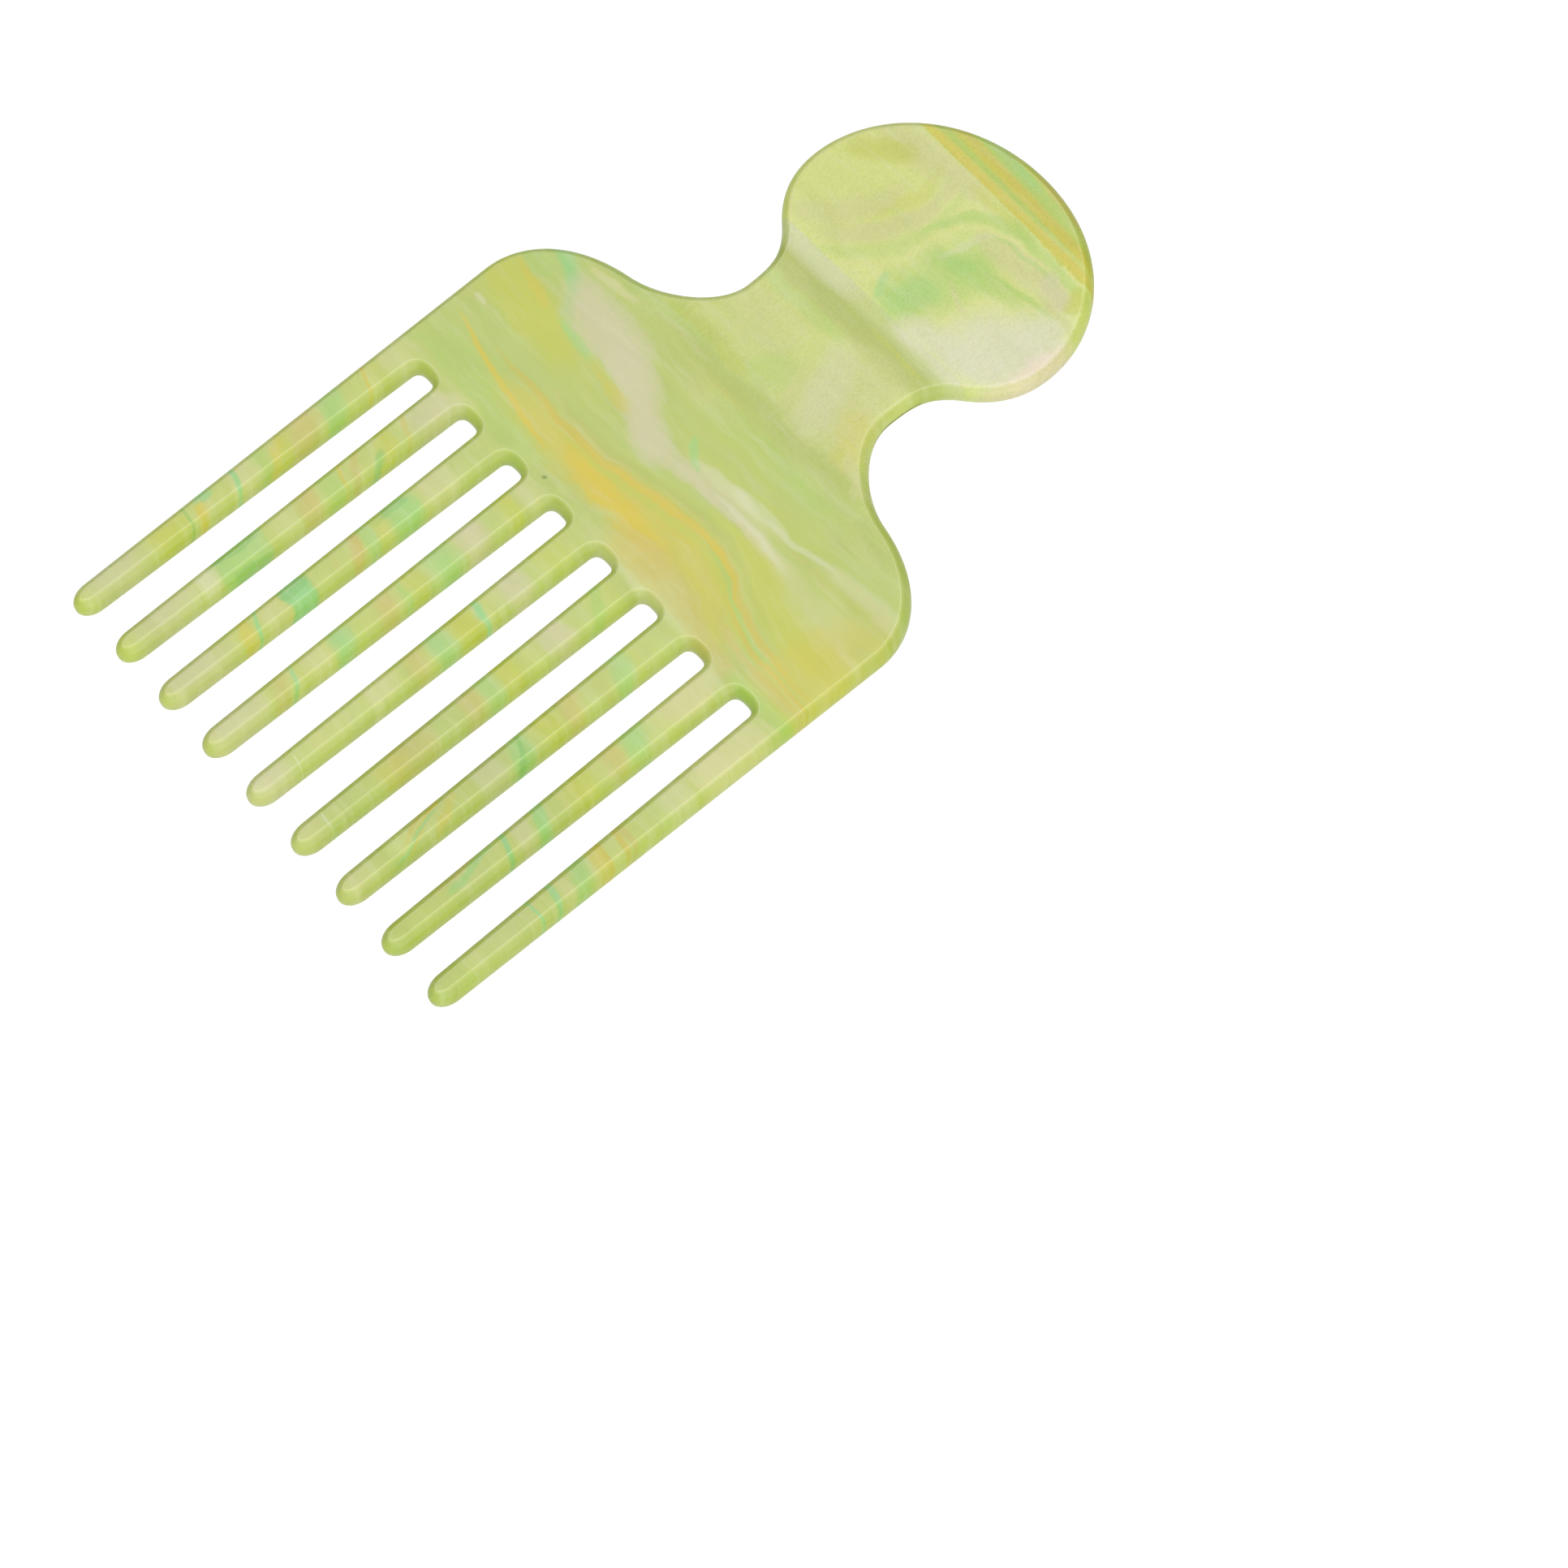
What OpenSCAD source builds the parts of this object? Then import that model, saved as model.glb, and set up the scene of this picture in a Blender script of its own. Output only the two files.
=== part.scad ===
// Wide-tooth hair comb with a waisted grip, ground from one sheet of cellulose acetate.
// It lies flat on its underside: X runs across the teeth, Y along them from the tips
// to the grip, and Z through the sheet. The origin is under the middle of the comb.
// The comb is a single piece. Its teeth, spine, shoulders, waist and head are drawn as
// separate solids that seat on each other face to face, so each can be told apart.

/* [Sheet] */
// Thickness of the sheet
sheet_t = 3.75; // [2.5:0.05:6]
// Radius of the polished edges
edge_r = 1.5; // [0.5:0.05:1.8]

/* [Teeth] */
// Number of teeth
tooth_count = 9; // [7:1:13]
// Distance between the middles of neighbouring teeth
tooth_pitch = 10.5; // [9:0.1:13]
// Width of a tooth at its tip
tooth_tip_w = 4.5; // [3:0.1:5.5]
// Width of a tooth where it leaves the spine
tooth_root_w = 6.2; // [5:0.1:7]
// Length of a tooth, from its tip to the end of the gap beside it
tooth_len = 62; // [40:1:85]
// Length of the rounded tip of a tooth
tip_round_len = 3.3; // [2:0.1:8]
// Depth of the rounded end of a gap
gap_end_len = 1.6; // [0.8:0.1:3]

/* [Back] */
// Height of the straight sides above the ends of the gaps
side_h = 18; // [9:0.5:36]
// Height of the rounded shoulders
shoulder_h = 15; // [10:0.5:25]
// Width between the feet of the shoulders, where the waist begins
foot_w = 58; // [48:0.5:70]
// Angle at which the outline still rises at the feet of the shoulders
foot_rise = 10; // [2:1:25]

/* [Waist] */
// Width of the waist at its narrowest
waist_w = 32.4; // [22:0.1:42]
// Height of the narrowest place above the feet of the shoulders
waist_h = 12; // [8:0.5:20]
// Height of the crease above the narrowest place
crease_h = 10.5; // [7:0.5:18]
// Depth of the thumb scoop in the upper face, deepest at the narrowest place
scoop_depth = 0.6; // [0.2:0.05:1.2]

/* [Head] */
// Width of the neck beside the crease, where the head begins
neck_w = 38.8; // [34:0.1:46]
// Angle between the outline and the middle line beside the crease
neck_flare = 46; // [25:1:60]
// Width of the head at its widest
head_w = 53; // [47:0.5:70]
// Height of the widest place above the crease
bulge_h = 11.5; // [9:0.5:20]
// Height of the crown above the widest place
crown_h = 22; // [12:0.5:40]

/* [Hidden] */

// Pearly yellow-green acetate, a little paler on the worn waist
tooth_colour = [0.79, 0.83, 0.55];
spine_colour = [0.80, 0.79, 0.45];
shoulder_colour = [0.77, 0.80, 0.52];
waist_colour = [0.78, 0.84, 0.58];
head_colour = [0.80, 0.84, 0.50];

// Most of the thickness, and of a tooth tip's width, that one rounded edge may take
rim_share = 0.42;
// Part of the straight side that belongs to the spine
spine_share = 1 / 3;
// Squareness of a gap's end, where 2 is an ellipse
gap_end_power = 2.8;
// Lengths of the two handles of each curve of the outline, as shares of its chord
shoulder_handle_shares = [0.29, 0.52];
foot_handle_shares = [0.34, 0.32];
neck_handle_shares = [0.50, 0.38];
bulge_handle_shares = [0.14, 0.55];
crown_handle_shares = [0.34, 0.45];

// Steps in each rounded edge, tip, gap end and curve
rim_steps = 5;
tip_steps = 12;
gap_end_steps = 12;
shoulder_steps = 14;
foot_steps = 11;
neck_steps = 10;
bulge_steps = 10;
crown_steps = 18;

// Places along the comb, from the tips up
comb_len = tooth_len + side_h + shoulder_h + waist_h + crease_h + bulge_h + crown_h;
tip_y = -comb_len / 2;
gap_end_y = tip_y + tooth_len;
root_y = gap_end_y - gap_end_len;
spine_y = gap_end_y + side_h * spine_share;
side_y = gap_end_y + side_h;
foot_y = side_y + shoulder_h;
waist_y = foot_y + waist_h;
crease_y = waist_y + crease_h;
bulge_y = crease_y + bulge_h;
crown_y = bulge_y + crown_h;

rim_r = min(edge_r, sheet_t * rim_share, tooth_tip_w * rim_share);
rim_count = 2 * rim_steps + 2;

// Middle of tooth i, counted from 0 at the left
function tooth_x(i) = (i - (tooth_count - 1) / 2) * tooth_pitch;
// Half the width of a tooth at the height y
function tooth_half(y) =
    (tooth_tip_w + (tooth_root_w - tooth_tip_w) * (y - tip_y) / tooth_len) / 2;
// Half the width of the comb at the height y of its straight side
function side_half(y) = tooth_x(tooth_count - 1) + tooth_half(y);

// How far level k of the rounded edge lies inside the outline, and how high it lies
// under the upper face at the height top
function rim_inset(k) = k <= rim_steps
    ? rim_r * (1 - sin(90 * k / rim_steps))
    : rim_r * (1 - cos(90 * (k - rim_steps - 1) / rim_steps));
function rim_z(k, top) = k <= rim_steps
    ? rim_r * (1 - cos(90 * k / rim_steps))
    : top - rim_r * (1 - sin(90 * (k - rim_steps - 1) / rim_steps));

// Height of the upper face at y: the scoop fades in from the feet of the shoulders
// and ends in a crisp crease under the head
function scoop(y) = y <= foot_y || y >= crease_y ? 0
    : y < waist_y ? scoop_depth * pow(cos(90 * (waist_y - y) / waist_h), 2)
    : scoop_depth * (1 - pow((y - waist_y) / crease_h, 3));
function top_z(y) = sheet_t - scoop(y);

// A station is a point of the outline with the direction that leads inward from it
function place(station) = station[0];
function inward(station) = station[1];
function heading(angle) = [cos(angle), sin(angle)];

// One curve of the outline between two knots, each a point and a heading
function curve_points(a, b, shares) = let (chord = norm(b[0] - a[0])) [
    a[0],
    a[0] + heading(a[1]) * chord * shares[0],
    b[0] - heading(b[1]) * chord * shares[1],
    b[0]
];
function along(p, s) = p[0] * pow(1 - s, 3) + p[1] * 3 * s * pow(1 - s, 2)
    + p[2] * 3 * s * s * (1 - s) + p[3] * pow(s, 3);
function slope(p, s) = (p[1] - p[0]) * pow(1 - s, 2)
    + (p[2] - p[1]) * 2 * s * (1 - s) + (p[3] - p[2]) * s * s;
function left_of(v) = [-v[1], v[0]] / norm(v);
// Stations from step first to the last step of the curve
function stations(a, b, shares, steps, first) = let (p = curve_points(a, b, shares)) [
    for (i = [first : steps]) [along(p, i / steps), left_of(slope(p, i / steps))]
];

// Knots of the right half of the outline
side_taper = atan((tooth_root_w - tooth_tip_w) / 2 / tooth_len);
side_knot = [[side_half(side_y), side_y], 90 - side_taper];
foot_knot = [[foot_w / 2, foot_y], 180 - foot_rise];
waist_knot = [[waist_w / 2, waist_y], 90];
neck_knot = [[neck_w / 2, crease_y - rim_r * sin(neck_flare)], 90 - neck_flare];
bulge_knot = [[head_w / 2, bulge_y], 90];
crown_knot = [[0, crown_y], 180];

shoulder_line = concat(
    [[[side_half(spine_y), spine_y], [-1, 0]]],
    stations(side_knot, foot_knot, shoulder_handle_shares, shoulder_steps, 0)
);
waist_line = concat(
    stations(foot_knot, waist_knot, foot_handle_shares, foot_steps, 0),
    stations(waist_knot, neck_knot, neck_handle_shares, neck_steps, 1)
);
head_line = concat(
    stations(neck_knot, bulge_knot, bulge_handle_shares, bulge_steps, 0),
    stations(bulge_knot, crown_knot, crown_handle_shares, crown_steps, 1)
);

// Sets a station down at level k of the rounded edge. Side is 1, or -1 on the left.
function set_down(station, k, side) = let (
    inner_y = (place(station) + inward(station) * rim_r)[1],
    p = place(station) + inward(station) * rim_inset(k)
) [side * p[0], p[1], rim_z(k, top_z(inner_y))];

// Solid with vertical sides and rounded edges over a closed anticlockwise outline.
// A station whose direction lies along a straight cut keeps that cut flat. The list
// cap divides the outline into convex faces.
module slab(outline, cap) {
    n = len(outline);
    top_ring = (rim_count - 1) * n;
    points = [for (k = [0 : rim_count - 1], s = outline) set_down(s, k, 1)];
    sides = [for (k = [0 : rim_count - 2], i = [0 : n - 1])
        let (a = k * n + i, b = a + n, c = (k + 1) * n + (i + 1) % n, d = c - n)
        each [[a, b, c], [a, c, d]]];
    upper = [for (face = cap) [for (i = [len(face) - 1 : -1 : 0]) top_ring + face[i]]];
    polyhedron(points, concat(cap, upper, sides), convexity = 6);
}

// Solid that is alike on both sides of the middle line, skinned over the stations of
// its right half. With closed set, the last station lies on the middle line.
module skin(line, closed = false) {
    n = len(line);
    ring = 2 * rim_count;
    last = ring - 1;
    points = [for (s = line)
        each concat([for (k = [0 : rim_count - 1]) set_down(s, k, 1)],
            [for (k = [rim_count - 1 : -1 : 0]) set_down(s, k, -1)])];
    function at(i, m) = i * ring + (closed && i == n - 1 && m >= rim_count ? last - m : m);
    sides = [for (i = [0 : n - 2], m = [0 : last])
        let (a = at(i, m), b = at(i, (m + 1) % ring),
            c = at(i + 1, (m + 1) % ring), d = at(i + 1, m))
        each c == d ? [[a, b, c]] : [[a, b, c], [a, c, d]]];
    lower_end = [
        [for (m = [rim_count - 1 : -1 : 0]) at(0, m)],
        [at(0, 0), at(0, last), at(0, rim_count), at(0, rim_count - 1)],
        [for (m = [last : -1 : rim_count]) at(0, m)]
    ];
    upper_end = closed ? [] : [
        [for (m = [0 : rim_count - 1]) at(n - 1, m)],
        [at(n - 1, rim_count - 1), at(n - 1, rim_count), at(n - 1, last), at(n - 1, 0)],
        [for (m = [rim_count : last]) at(n - 1, m)]
    ];
    polyhedron(points, concat(sides, lower_end, upper_end), convexity = 4);
}

// Tapered tooth i, counted from 1, with a rounded tip and its flat root on the spine
module tooth(i) {
    round_y = tip_y + tip_round_len;
    half = tooth_half(round_y);
    root = tooth_half(root_y);
    outline = concat(
        [[[-root, root_y], [1, 0]]],
        [for (s = [0 : tip_steps]) let (v = heading(180 + 180 * s / tip_steps))
            [[half * v[0], round_y + tip_round_len * v[1]], -v]],
        [[[root, root_y], [-1, 0]]]
    );
    cap = [[for (k = [0 : len(outline) - 1]) k]];
    color(tooth_colour) translate([tooth_x(i - 1), 0, 0]) slab(outline, cap);
}

// Straight bar that carries the teeth, with a rounded end to each gap
module spine() {
    gap_half = tooth_pitch / 2 - tooth_half(root_y);
    lower_x = side_half(root_y);
    upper_x = side_half(spine_y);
    last = tooth_count - 1;
    half_steps = gap_end_steps / 2;

    outline = concat(
        [[[lower_x, root_y], [-1, 0]], [[upper_x, spine_y], [-1, 0]]],
        [for (i = [last : -1 : 0]) [[tooth_x(i), spine_y], [0, 0]]],
        [[[-upper_x, spine_y], [1, 0]], [[-lower_x, root_y], [1, 0]]],
        [for (g = [0 : last - 1], s = [0 : gap_end_steps]) let (
            angle = 180 - 90 * s / half_steps,
            out = [sign(cos(angle)) * pow(abs(cos(angle)), 2 / gap_end_power),
                pow(sin(angle), 2 / gap_end_power)]
        ) [[tooth_x(g) + tooth_pitch / 2 + gap_half * out[0], root_y + gap_end_len * out[1]], out]]
    );

    // Places in that list of the point above tooth i, and of step s of gap g
    function above(i) = last + 2 - i;
    function gap(g, s) = last + 5 + g * (gap_end_steps + 1) + s;
    cap = concat(
        [[0, 1, above(last)], [0, above(last), gap(last - 1, gap_end_steps)]],
        [[above(0), last + 3, last + 4], [above(0), last + 4, gap(0, 0)]],
        [for (g = [0 : last - 1]) [above(g), gap(g, half_steps), above(g + 1)]],
        [for (g = [0 : last - 1], s = [0 : gap_end_steps - 1])
            [above(s < half_steps ? g : g + 1), gap(g, s), gap(g, s + 1)]],
        [for (g = [1 : last - 1]) [above(g), gap(g - 1, gap_end_steps), gap(g, 0)]]
    );
    color(spine_colour) slab(outline, cap);
}

// Upper part of the back, drawn in by its rounded shoulders
module shoulders() color(shoulder_colour) skin(shoulder_line);

// Waist between two finger notches, with the thumb scoop in its upper face
module waist() color(waist_colour) skin(waist_line);

// Flat oval head, held between finger and thumb
module head() color(head_colour) skin(head_line, closed = true);

for (i = [1 : tooth_count])
    tooth(i);
spine();
shoulders();
waist();
head();
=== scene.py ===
"""Wide-tooth hair comb of marbled acetate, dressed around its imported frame.

The comb is one piece, ground from a single sheet and polished. Its body is one closed mesh
with rounded edges, a thumb scoop and nine tapered teeth, and it stands for every portion of
the frame. Lengths in this file are millimetres until a mesh, a lamp or a camera is made.
"""

from __future__ import annotations

import logging
import math
from collections.abc import Callable
from dataclasses import dataclass, field
from enum import Enum

import bpy
import numpy as np
from mathutils import Matrix, Vector
from mathutils.geometry import delaunay_2d_cdt

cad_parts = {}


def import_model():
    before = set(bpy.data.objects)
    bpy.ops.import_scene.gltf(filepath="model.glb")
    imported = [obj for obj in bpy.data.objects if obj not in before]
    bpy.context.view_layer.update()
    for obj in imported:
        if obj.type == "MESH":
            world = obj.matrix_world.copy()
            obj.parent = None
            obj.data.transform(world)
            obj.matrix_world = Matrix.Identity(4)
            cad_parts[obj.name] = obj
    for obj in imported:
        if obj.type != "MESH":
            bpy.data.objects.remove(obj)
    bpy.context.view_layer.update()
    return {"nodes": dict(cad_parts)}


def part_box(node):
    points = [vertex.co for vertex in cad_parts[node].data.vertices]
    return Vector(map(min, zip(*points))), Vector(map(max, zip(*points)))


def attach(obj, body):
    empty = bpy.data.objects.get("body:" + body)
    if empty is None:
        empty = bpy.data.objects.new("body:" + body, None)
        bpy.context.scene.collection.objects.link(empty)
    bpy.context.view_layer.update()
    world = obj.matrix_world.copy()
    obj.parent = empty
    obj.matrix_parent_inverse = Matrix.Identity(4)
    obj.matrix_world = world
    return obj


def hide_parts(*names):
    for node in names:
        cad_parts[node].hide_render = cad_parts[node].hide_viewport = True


LOG = logging.getLogger("comb")
MM = 0.001
BODY = "root"
TEETH = 9
UPRIGHT = math.pi / 2
WHITE = (1.0, 1.0, 1.0, 1.0)
NOISE_MIDDLE = 0.5
Socket = bpy.types.NodeSocket
Value = float | Socket
Point = tuple[float, float]
Triple = tuple[float, float, float]


class Tint(Enum):
    """Dyes and pearl that are folded into the sheet, and a painted shade for the side walls, as display
    colours of 0 to 255. The pearl also serves as painted highlight.
    """

    MEADOW = (195, 208, 124)
    OLIVE = (184, 193, 104)
    MOSS = (132, 158, 74)
    LEAF = (180, 213, 116)
    LIME = (204, 209, 93)
    GOLD = (222, 204, 75)
    AMBER = (215, 199, 88)
    APRICOT = (211, 197, 118)
    MINT = (166, 216, 134)
    FERN = (140, 198, 112)
    AQUA = (154, 215, 148)
    SAGE = (224, 228, 153)
    CREAM = (215, 215, 154)
    ROSE = (215, 211, 172)
    # Also used for painted highlights along the arris and the crease.
    PEARL = (227, 226, 198)
    SHELL = (240, 224, 216)
    # Painted shade: multiplied into the side walls and rounded edges by how far they lean, so they are
    # darker and more saturated than the faces.
    WALL_SHADE = (232, 238, 203)
    DEPTH = (236, 240, 214)

    def linear(self) -> tuple[float, float, float, float]:
        """Return the tint as a linear colour with full alpha."""
        knee, slope, offset, power = 0.04045, 12.92, 0.055, 2.4
        parts = [part / 255 for part in self.value]
        red, green, blue = (
            part / slope if part <= knee else ((part + offset) / (1 + offset)) ** power
            for part in parts
        )
        return (red, green, blue, 1.0)


@dataclass(frozen=True)
class Streak:
    """Free streaks of one dye that run across the sheet.

    Attributes:
        tint: Dye of the streaks.
        shift: Offset that gives these streaks a pattern of their own.
        length: Usual length of a streak.
        width: Usual width of a streak.
        limits: Noise values at which a streak begins and is full.
        strength: How fully the dye covers what lies under it.
    """

    tint: Tint
    shift: Triple
    length: float
    width: float
    limits: Point
    strength: float


@dataclass(frozen=True)
class Swirl:
    """One soft fold of dye in the sheet, an ellipse that may be turned and bent; a few are painted
    highlights instead.

    Attributes:
        tint: Dye of the fold.
        x: Place of its middle across the comb.
        y: Place of its middle along the comb.
        reach: Half its length.
        breadth: Half its width.
        turn: Angle of its length from X, in degrees.
        bend: How strongly its length curves to its left, per millimetre.
        strength: How fully the dye covers what lies under it.
        soft: How softly it fades out, from 0 for a crisp edge to 1.2 for none.
    """

    tint: Tint
    x: float
    y: float
    reach: float
    breadth: float
    turn: float = 0.0
    bend: float = 0.0
    strength: float = 0.8
    soft: float = 1.2


STREAKS = (
    Streak(Tint.LIME, (0, 0, 0), 40, 9, (0.35, 0.65), 0.4),
    Streak(Tint.OLIVE, (40, 7, 0), 26, 3.2, (0.5, 0.75), 0.4),
    Streak(Tint.CREAM, (80, 31, 9), 22, 3.5, (0.5, 0.72), 0.45),
    Streak(Tint.LEAF, (11, 63, 5), 24, 2.6, (0.52, 0.76), 0.35),
    Streak(Tint.APRICOT, (23, 11, 70), 28, 2.0, (0.54, 0.76), 0.3),
)

HEAD_SWIRLS = (
    Swirl(Tint.SAGE, 0, 56.0, 80, 13.3, strength=0.92, soft=0.03),
    Swirl(Tint.LIME, -18, 54, 10, 9, strength=0.2),
    Swirl(Tint.CREAM, -12, 65.0, 9.5, 2.8, turn=6, strength=0.85),
    Swirl(Tint.LIME, -19.4, 60.6, 5.0, 1.8, turn=38, strength=0.7),
    Swirl(Tint.CREAM, -8.4, 53.0, 10, 1.8, turn=68, bend=0.033, strength=0.85),
    Swirl(Tint.LIME, -11.9, 54.8, 9, 1.4, turn=66, bend=0.036, strength=0.3),
    Swirl(Tint.CREAM, -15.5, 50.0, 8, 2.0, turn=60, bend=0.036, strength=0.7),
    Swirl(Tint.LEAF, -5.0, 52.0, 11, 1.3, turn=70, bend=0.033, strength=0.32),
    Swirl(Tint.LEAF, 3.5, 51.5, 9.0, 4.6, turn=78, strength=0.62),
    Swirl(Tint.LEAF, 8.0, 57.2, 6.5, 1.9, turn=12, strength=0.55),
    Swirl(Tint.MINT, 2.0, 55.6, 3.4, 1.2, turn=25, strength=0.3),
    Swirl(Tint.MINT, 2.8, 47.0, 4.0, 2.6, turn=80, strength=0.42),
    Swirl(Tint.AQUA, -1.4, 45.4, 2.4, 0.7, turn=-62, strength=0.4),
    Swirl(Tint.CREAM, 7.5, 51.8, 3.2, 0.5, turn=-16, strength=0.6),
    Swirl(Tint.LIME, 1.5, 66.0, 6.5, 1.1, strength=0.5),
    Swirl(Tint.LEAF, 0.6, 63.2, 8.5, 0.9, turn=36, bend=-0.04, strength=0.55),
    Swirl(Tint.LEAF, 12, 66.0, 8.5, 0.9, turn=-4, strength=0.5),
    Swirl(Tint.CREAM, 8.5, 62.2, 6.5, 1.9, turn=12, strength=0.85),
    Swirl(Tint.PEARL, 1.6, 59.2, 4.5, 0.5, turn=64, bend=-0.03, strength=0.4),
    Swirl(Tint.CREAM, 6.4, 63.4, 5.0, 0.4, turn=24, bend=-0.02, strength=0.6),
    Swirl(Tint.LEAF, 10.0, 64.1, 6.5, 0.35, turn=6, bend=-0.02, strength=0.5),
    Swirl(Tint.ROSE, 16.6, 63.0, 3.6, 1.5, turn=-20, strength=0.8),
    Swirl(Tint.LEAF, 15.0, 59.9, 6.0, 0.45, turn=4, bend=-0.02, strength=0.5),
    Swirl(Tint.LIME, 19.6, 64.0, 2.8, 1.2, turn=-50, strength=0.7),
    # The next three pearl folds on the right of the head are pearl in the sheet together with a painted
    # reflection.
    Swirl(Tint.PEARL, 19.4, 51.2, 9.5, 6.2, turn=48, strength=1.0),
    Swirl(Tint.PEARL, 21.5, 52.0, 7.0, 3.2, turn=62, strength=0.9),
    Swirl(Tint.PEARL, 13.0, 45.4, 8.0, 2.3, turn=16, strength=0.85),
    Swirl(Tint.CREAM, 20.0, 60.6, 6.0, 0.6, turn=-8, strength=0.7),
    Swirl(Tint.SHELL, 27.0, 50.0, 11.0, 3.2, turn=76, strength=1.0, soft=0.9),
)

CROWN_SWIRLS = (
    Swirl(Tint.LIME, 0, 73.1, 80, 5.6, turn=-1.2, strength=0.65, soft=0.03),
    Swirl(Tint.GOLD, 2, 68.2, 26, 0.7, turn=-1.2, strength=0.6, soft=0.9),
    Swirl(Tint.LEAF, -3, 69.6, 16, 0.35, turn=-2, strength=0.45),
    Swirl(Tint.AMBER, 1, 71.1, 18, 0.55, turn=-3, strength=0.65),
    Swirl(Tint.GOLD, 2, 70.3, 18, 0.4, turn=-3, strength=0.5),
    Swirl(Tint.LEAF, 0, 72.2, 14, 0.4, turn=-3.5, strength=0.5),
    Swirl(Tint.AQUA, -4, 73.4, 6.5, 0.8, turn=-3, strength=0.4),
    Swirl(Tint.MINT, 4, 72.9, 8, 0.6, turn=-4, strength=0.35),
    Swirl(Tint.APRICOT, 6, 74.4, 6.5, 0.8, turn=-8, strength=0.7),
)

WAIST_SWIRLS = (
    Swirl(Tint.SAGE, 0, 30, 40, 8.5, strength=0.6, soft=0.5),
    Swirl(Tint.OLIVE, -6, 38.4, 26, 1.9, strength=0.75),
    Swirl(Tint.LIME, 9, 39.4, 6, 0.35, turn=-3, strength=0.5),
    # Painted highlight: these three pearl folds along the crease stand for the light on the slope just
    # under it.
    Swirl(Tint.PEARL, 0, 42.2, 30, 2.0, strength=0.3),
    Swirl(Tint.PEARL, -12, 42.0, 9, 2.1, strength=0.6),
    Swirl(Tint.PEARL, 12, 42.6, 8, 1.3, strength=0.6),
    Swirl(Tint.LEAF, -9, 35.3, 12, 1.1, strength=0.45),
    Swirl(Tint.CREAM, 9.5, 29, 9, 7, turn=80, strength=0.7),
    Swirl(Tint.PEARL, 7, 28, 8, 2.8, turn=-60, strength=0.4),
    Swirl(Tint.CREAM, -9, 30, 6, 5, strength=0.4),
    Swirl(Tint.LEAF, -1.6, 24, 3.8, 3.0, turn=30, strength=0.35),
    Swirl(Tint.GOLD, 16.4, 25.0, 5.0, 2.2, turn=-60, strength=0.3),
    Swirl(Tint.CREAM, 20.5, 21.2, 3.8, 1.0, turn=-30, strength=0.7),
    Swirl(Tint.LIME, -12, 20.8, 9, 1.0, turn=2, strength=0.4),
)

SHOULDER_SWIRLS = (
    Swirl(Tint.OLIVE, 3, 18.4, 20, 1.3, turn=1, strength=0.35),
    Swirl(Tint.CREAM, -28, 16.8, 5, 0.6, turn=6, strength=0.8),
    Swirl(Tint.LEAF, 10, 14.5, 14, 2.4, strength=0.35),
    Swirl(Tint.LEAF, -38.5, 12.4, 6, 3.0, turn=35, strength=0.45),
    Swirl(Tint.AQUA, -35.0, 13.4, 4.2, 1.2, turn=-22, strength=0.6),
    Swirl(Tint.LIME, -35, 4.8, 12, 3.2, turn=-8, strength=0.95),
    Swirl(Tint.GOLD, -38, 8.0, 5, 0.7, turn=-14, strength=0.5),
    Swirl(Tint.ROSE, -24.0, 10.9, 9.4, 3.7, turn=-9, strength=0.95),
    Swirl(Tint.ROSE, -10, 6.0, 9.5, 2.7, turn=-30, strength=0.95),
    Swirl(Tint.ROSE, 9, 3.7, 15, 2.0, turn=-1, strength=0.85),
    Swirl(Tint.CREAM, 32, 3.8, 16, 1.6, strength=0.65),
    Swirl(Tint.MINT, -30.0, 8.6, 6, 1.0, turn=-36, bend=0.03, strength=0.25),
    Swirl(Tint.MINT, -22.5, 6.2, 6.5, 0.7, turn=-4, strength=0.5),
    Swirl(Tint.GOLD, -16.5, 5.2, 5, 0.9, turn=-12, strength=0.45),
    Swirl(Tint.MINT, 1.0, 7.1, 2.8, 0.7, turn=-42, strength=0.65),
    Swirl(Tint.PEARL, 8, 6.6, 6.0, 0.8, turn=3, strength=0.45),
    Swirl(Tint.PEARL, 14.5, 7.6, 5.5, 0.9, turn=5, strength=0.4),
    Swirl(Tint.PEARL, 16, 4.2, 8.0, 0.8, turn=-3, strength=0.5),
    Swirl(Tint.PEARL, 22.5, 8.3, 7, 0.5, turn=8, strength=0.5),
    Swirl(Tint.PEARL, 36, 9.4, 10, 1.1, turn=3, strength=0.3),
    # Painted glint: a tiny pale spot near the left edge of the shoulder.
    Swirl(Tint.PEARL, -41.4, 0.4, 1.3, 0.5, strength=0.5),
)

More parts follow.
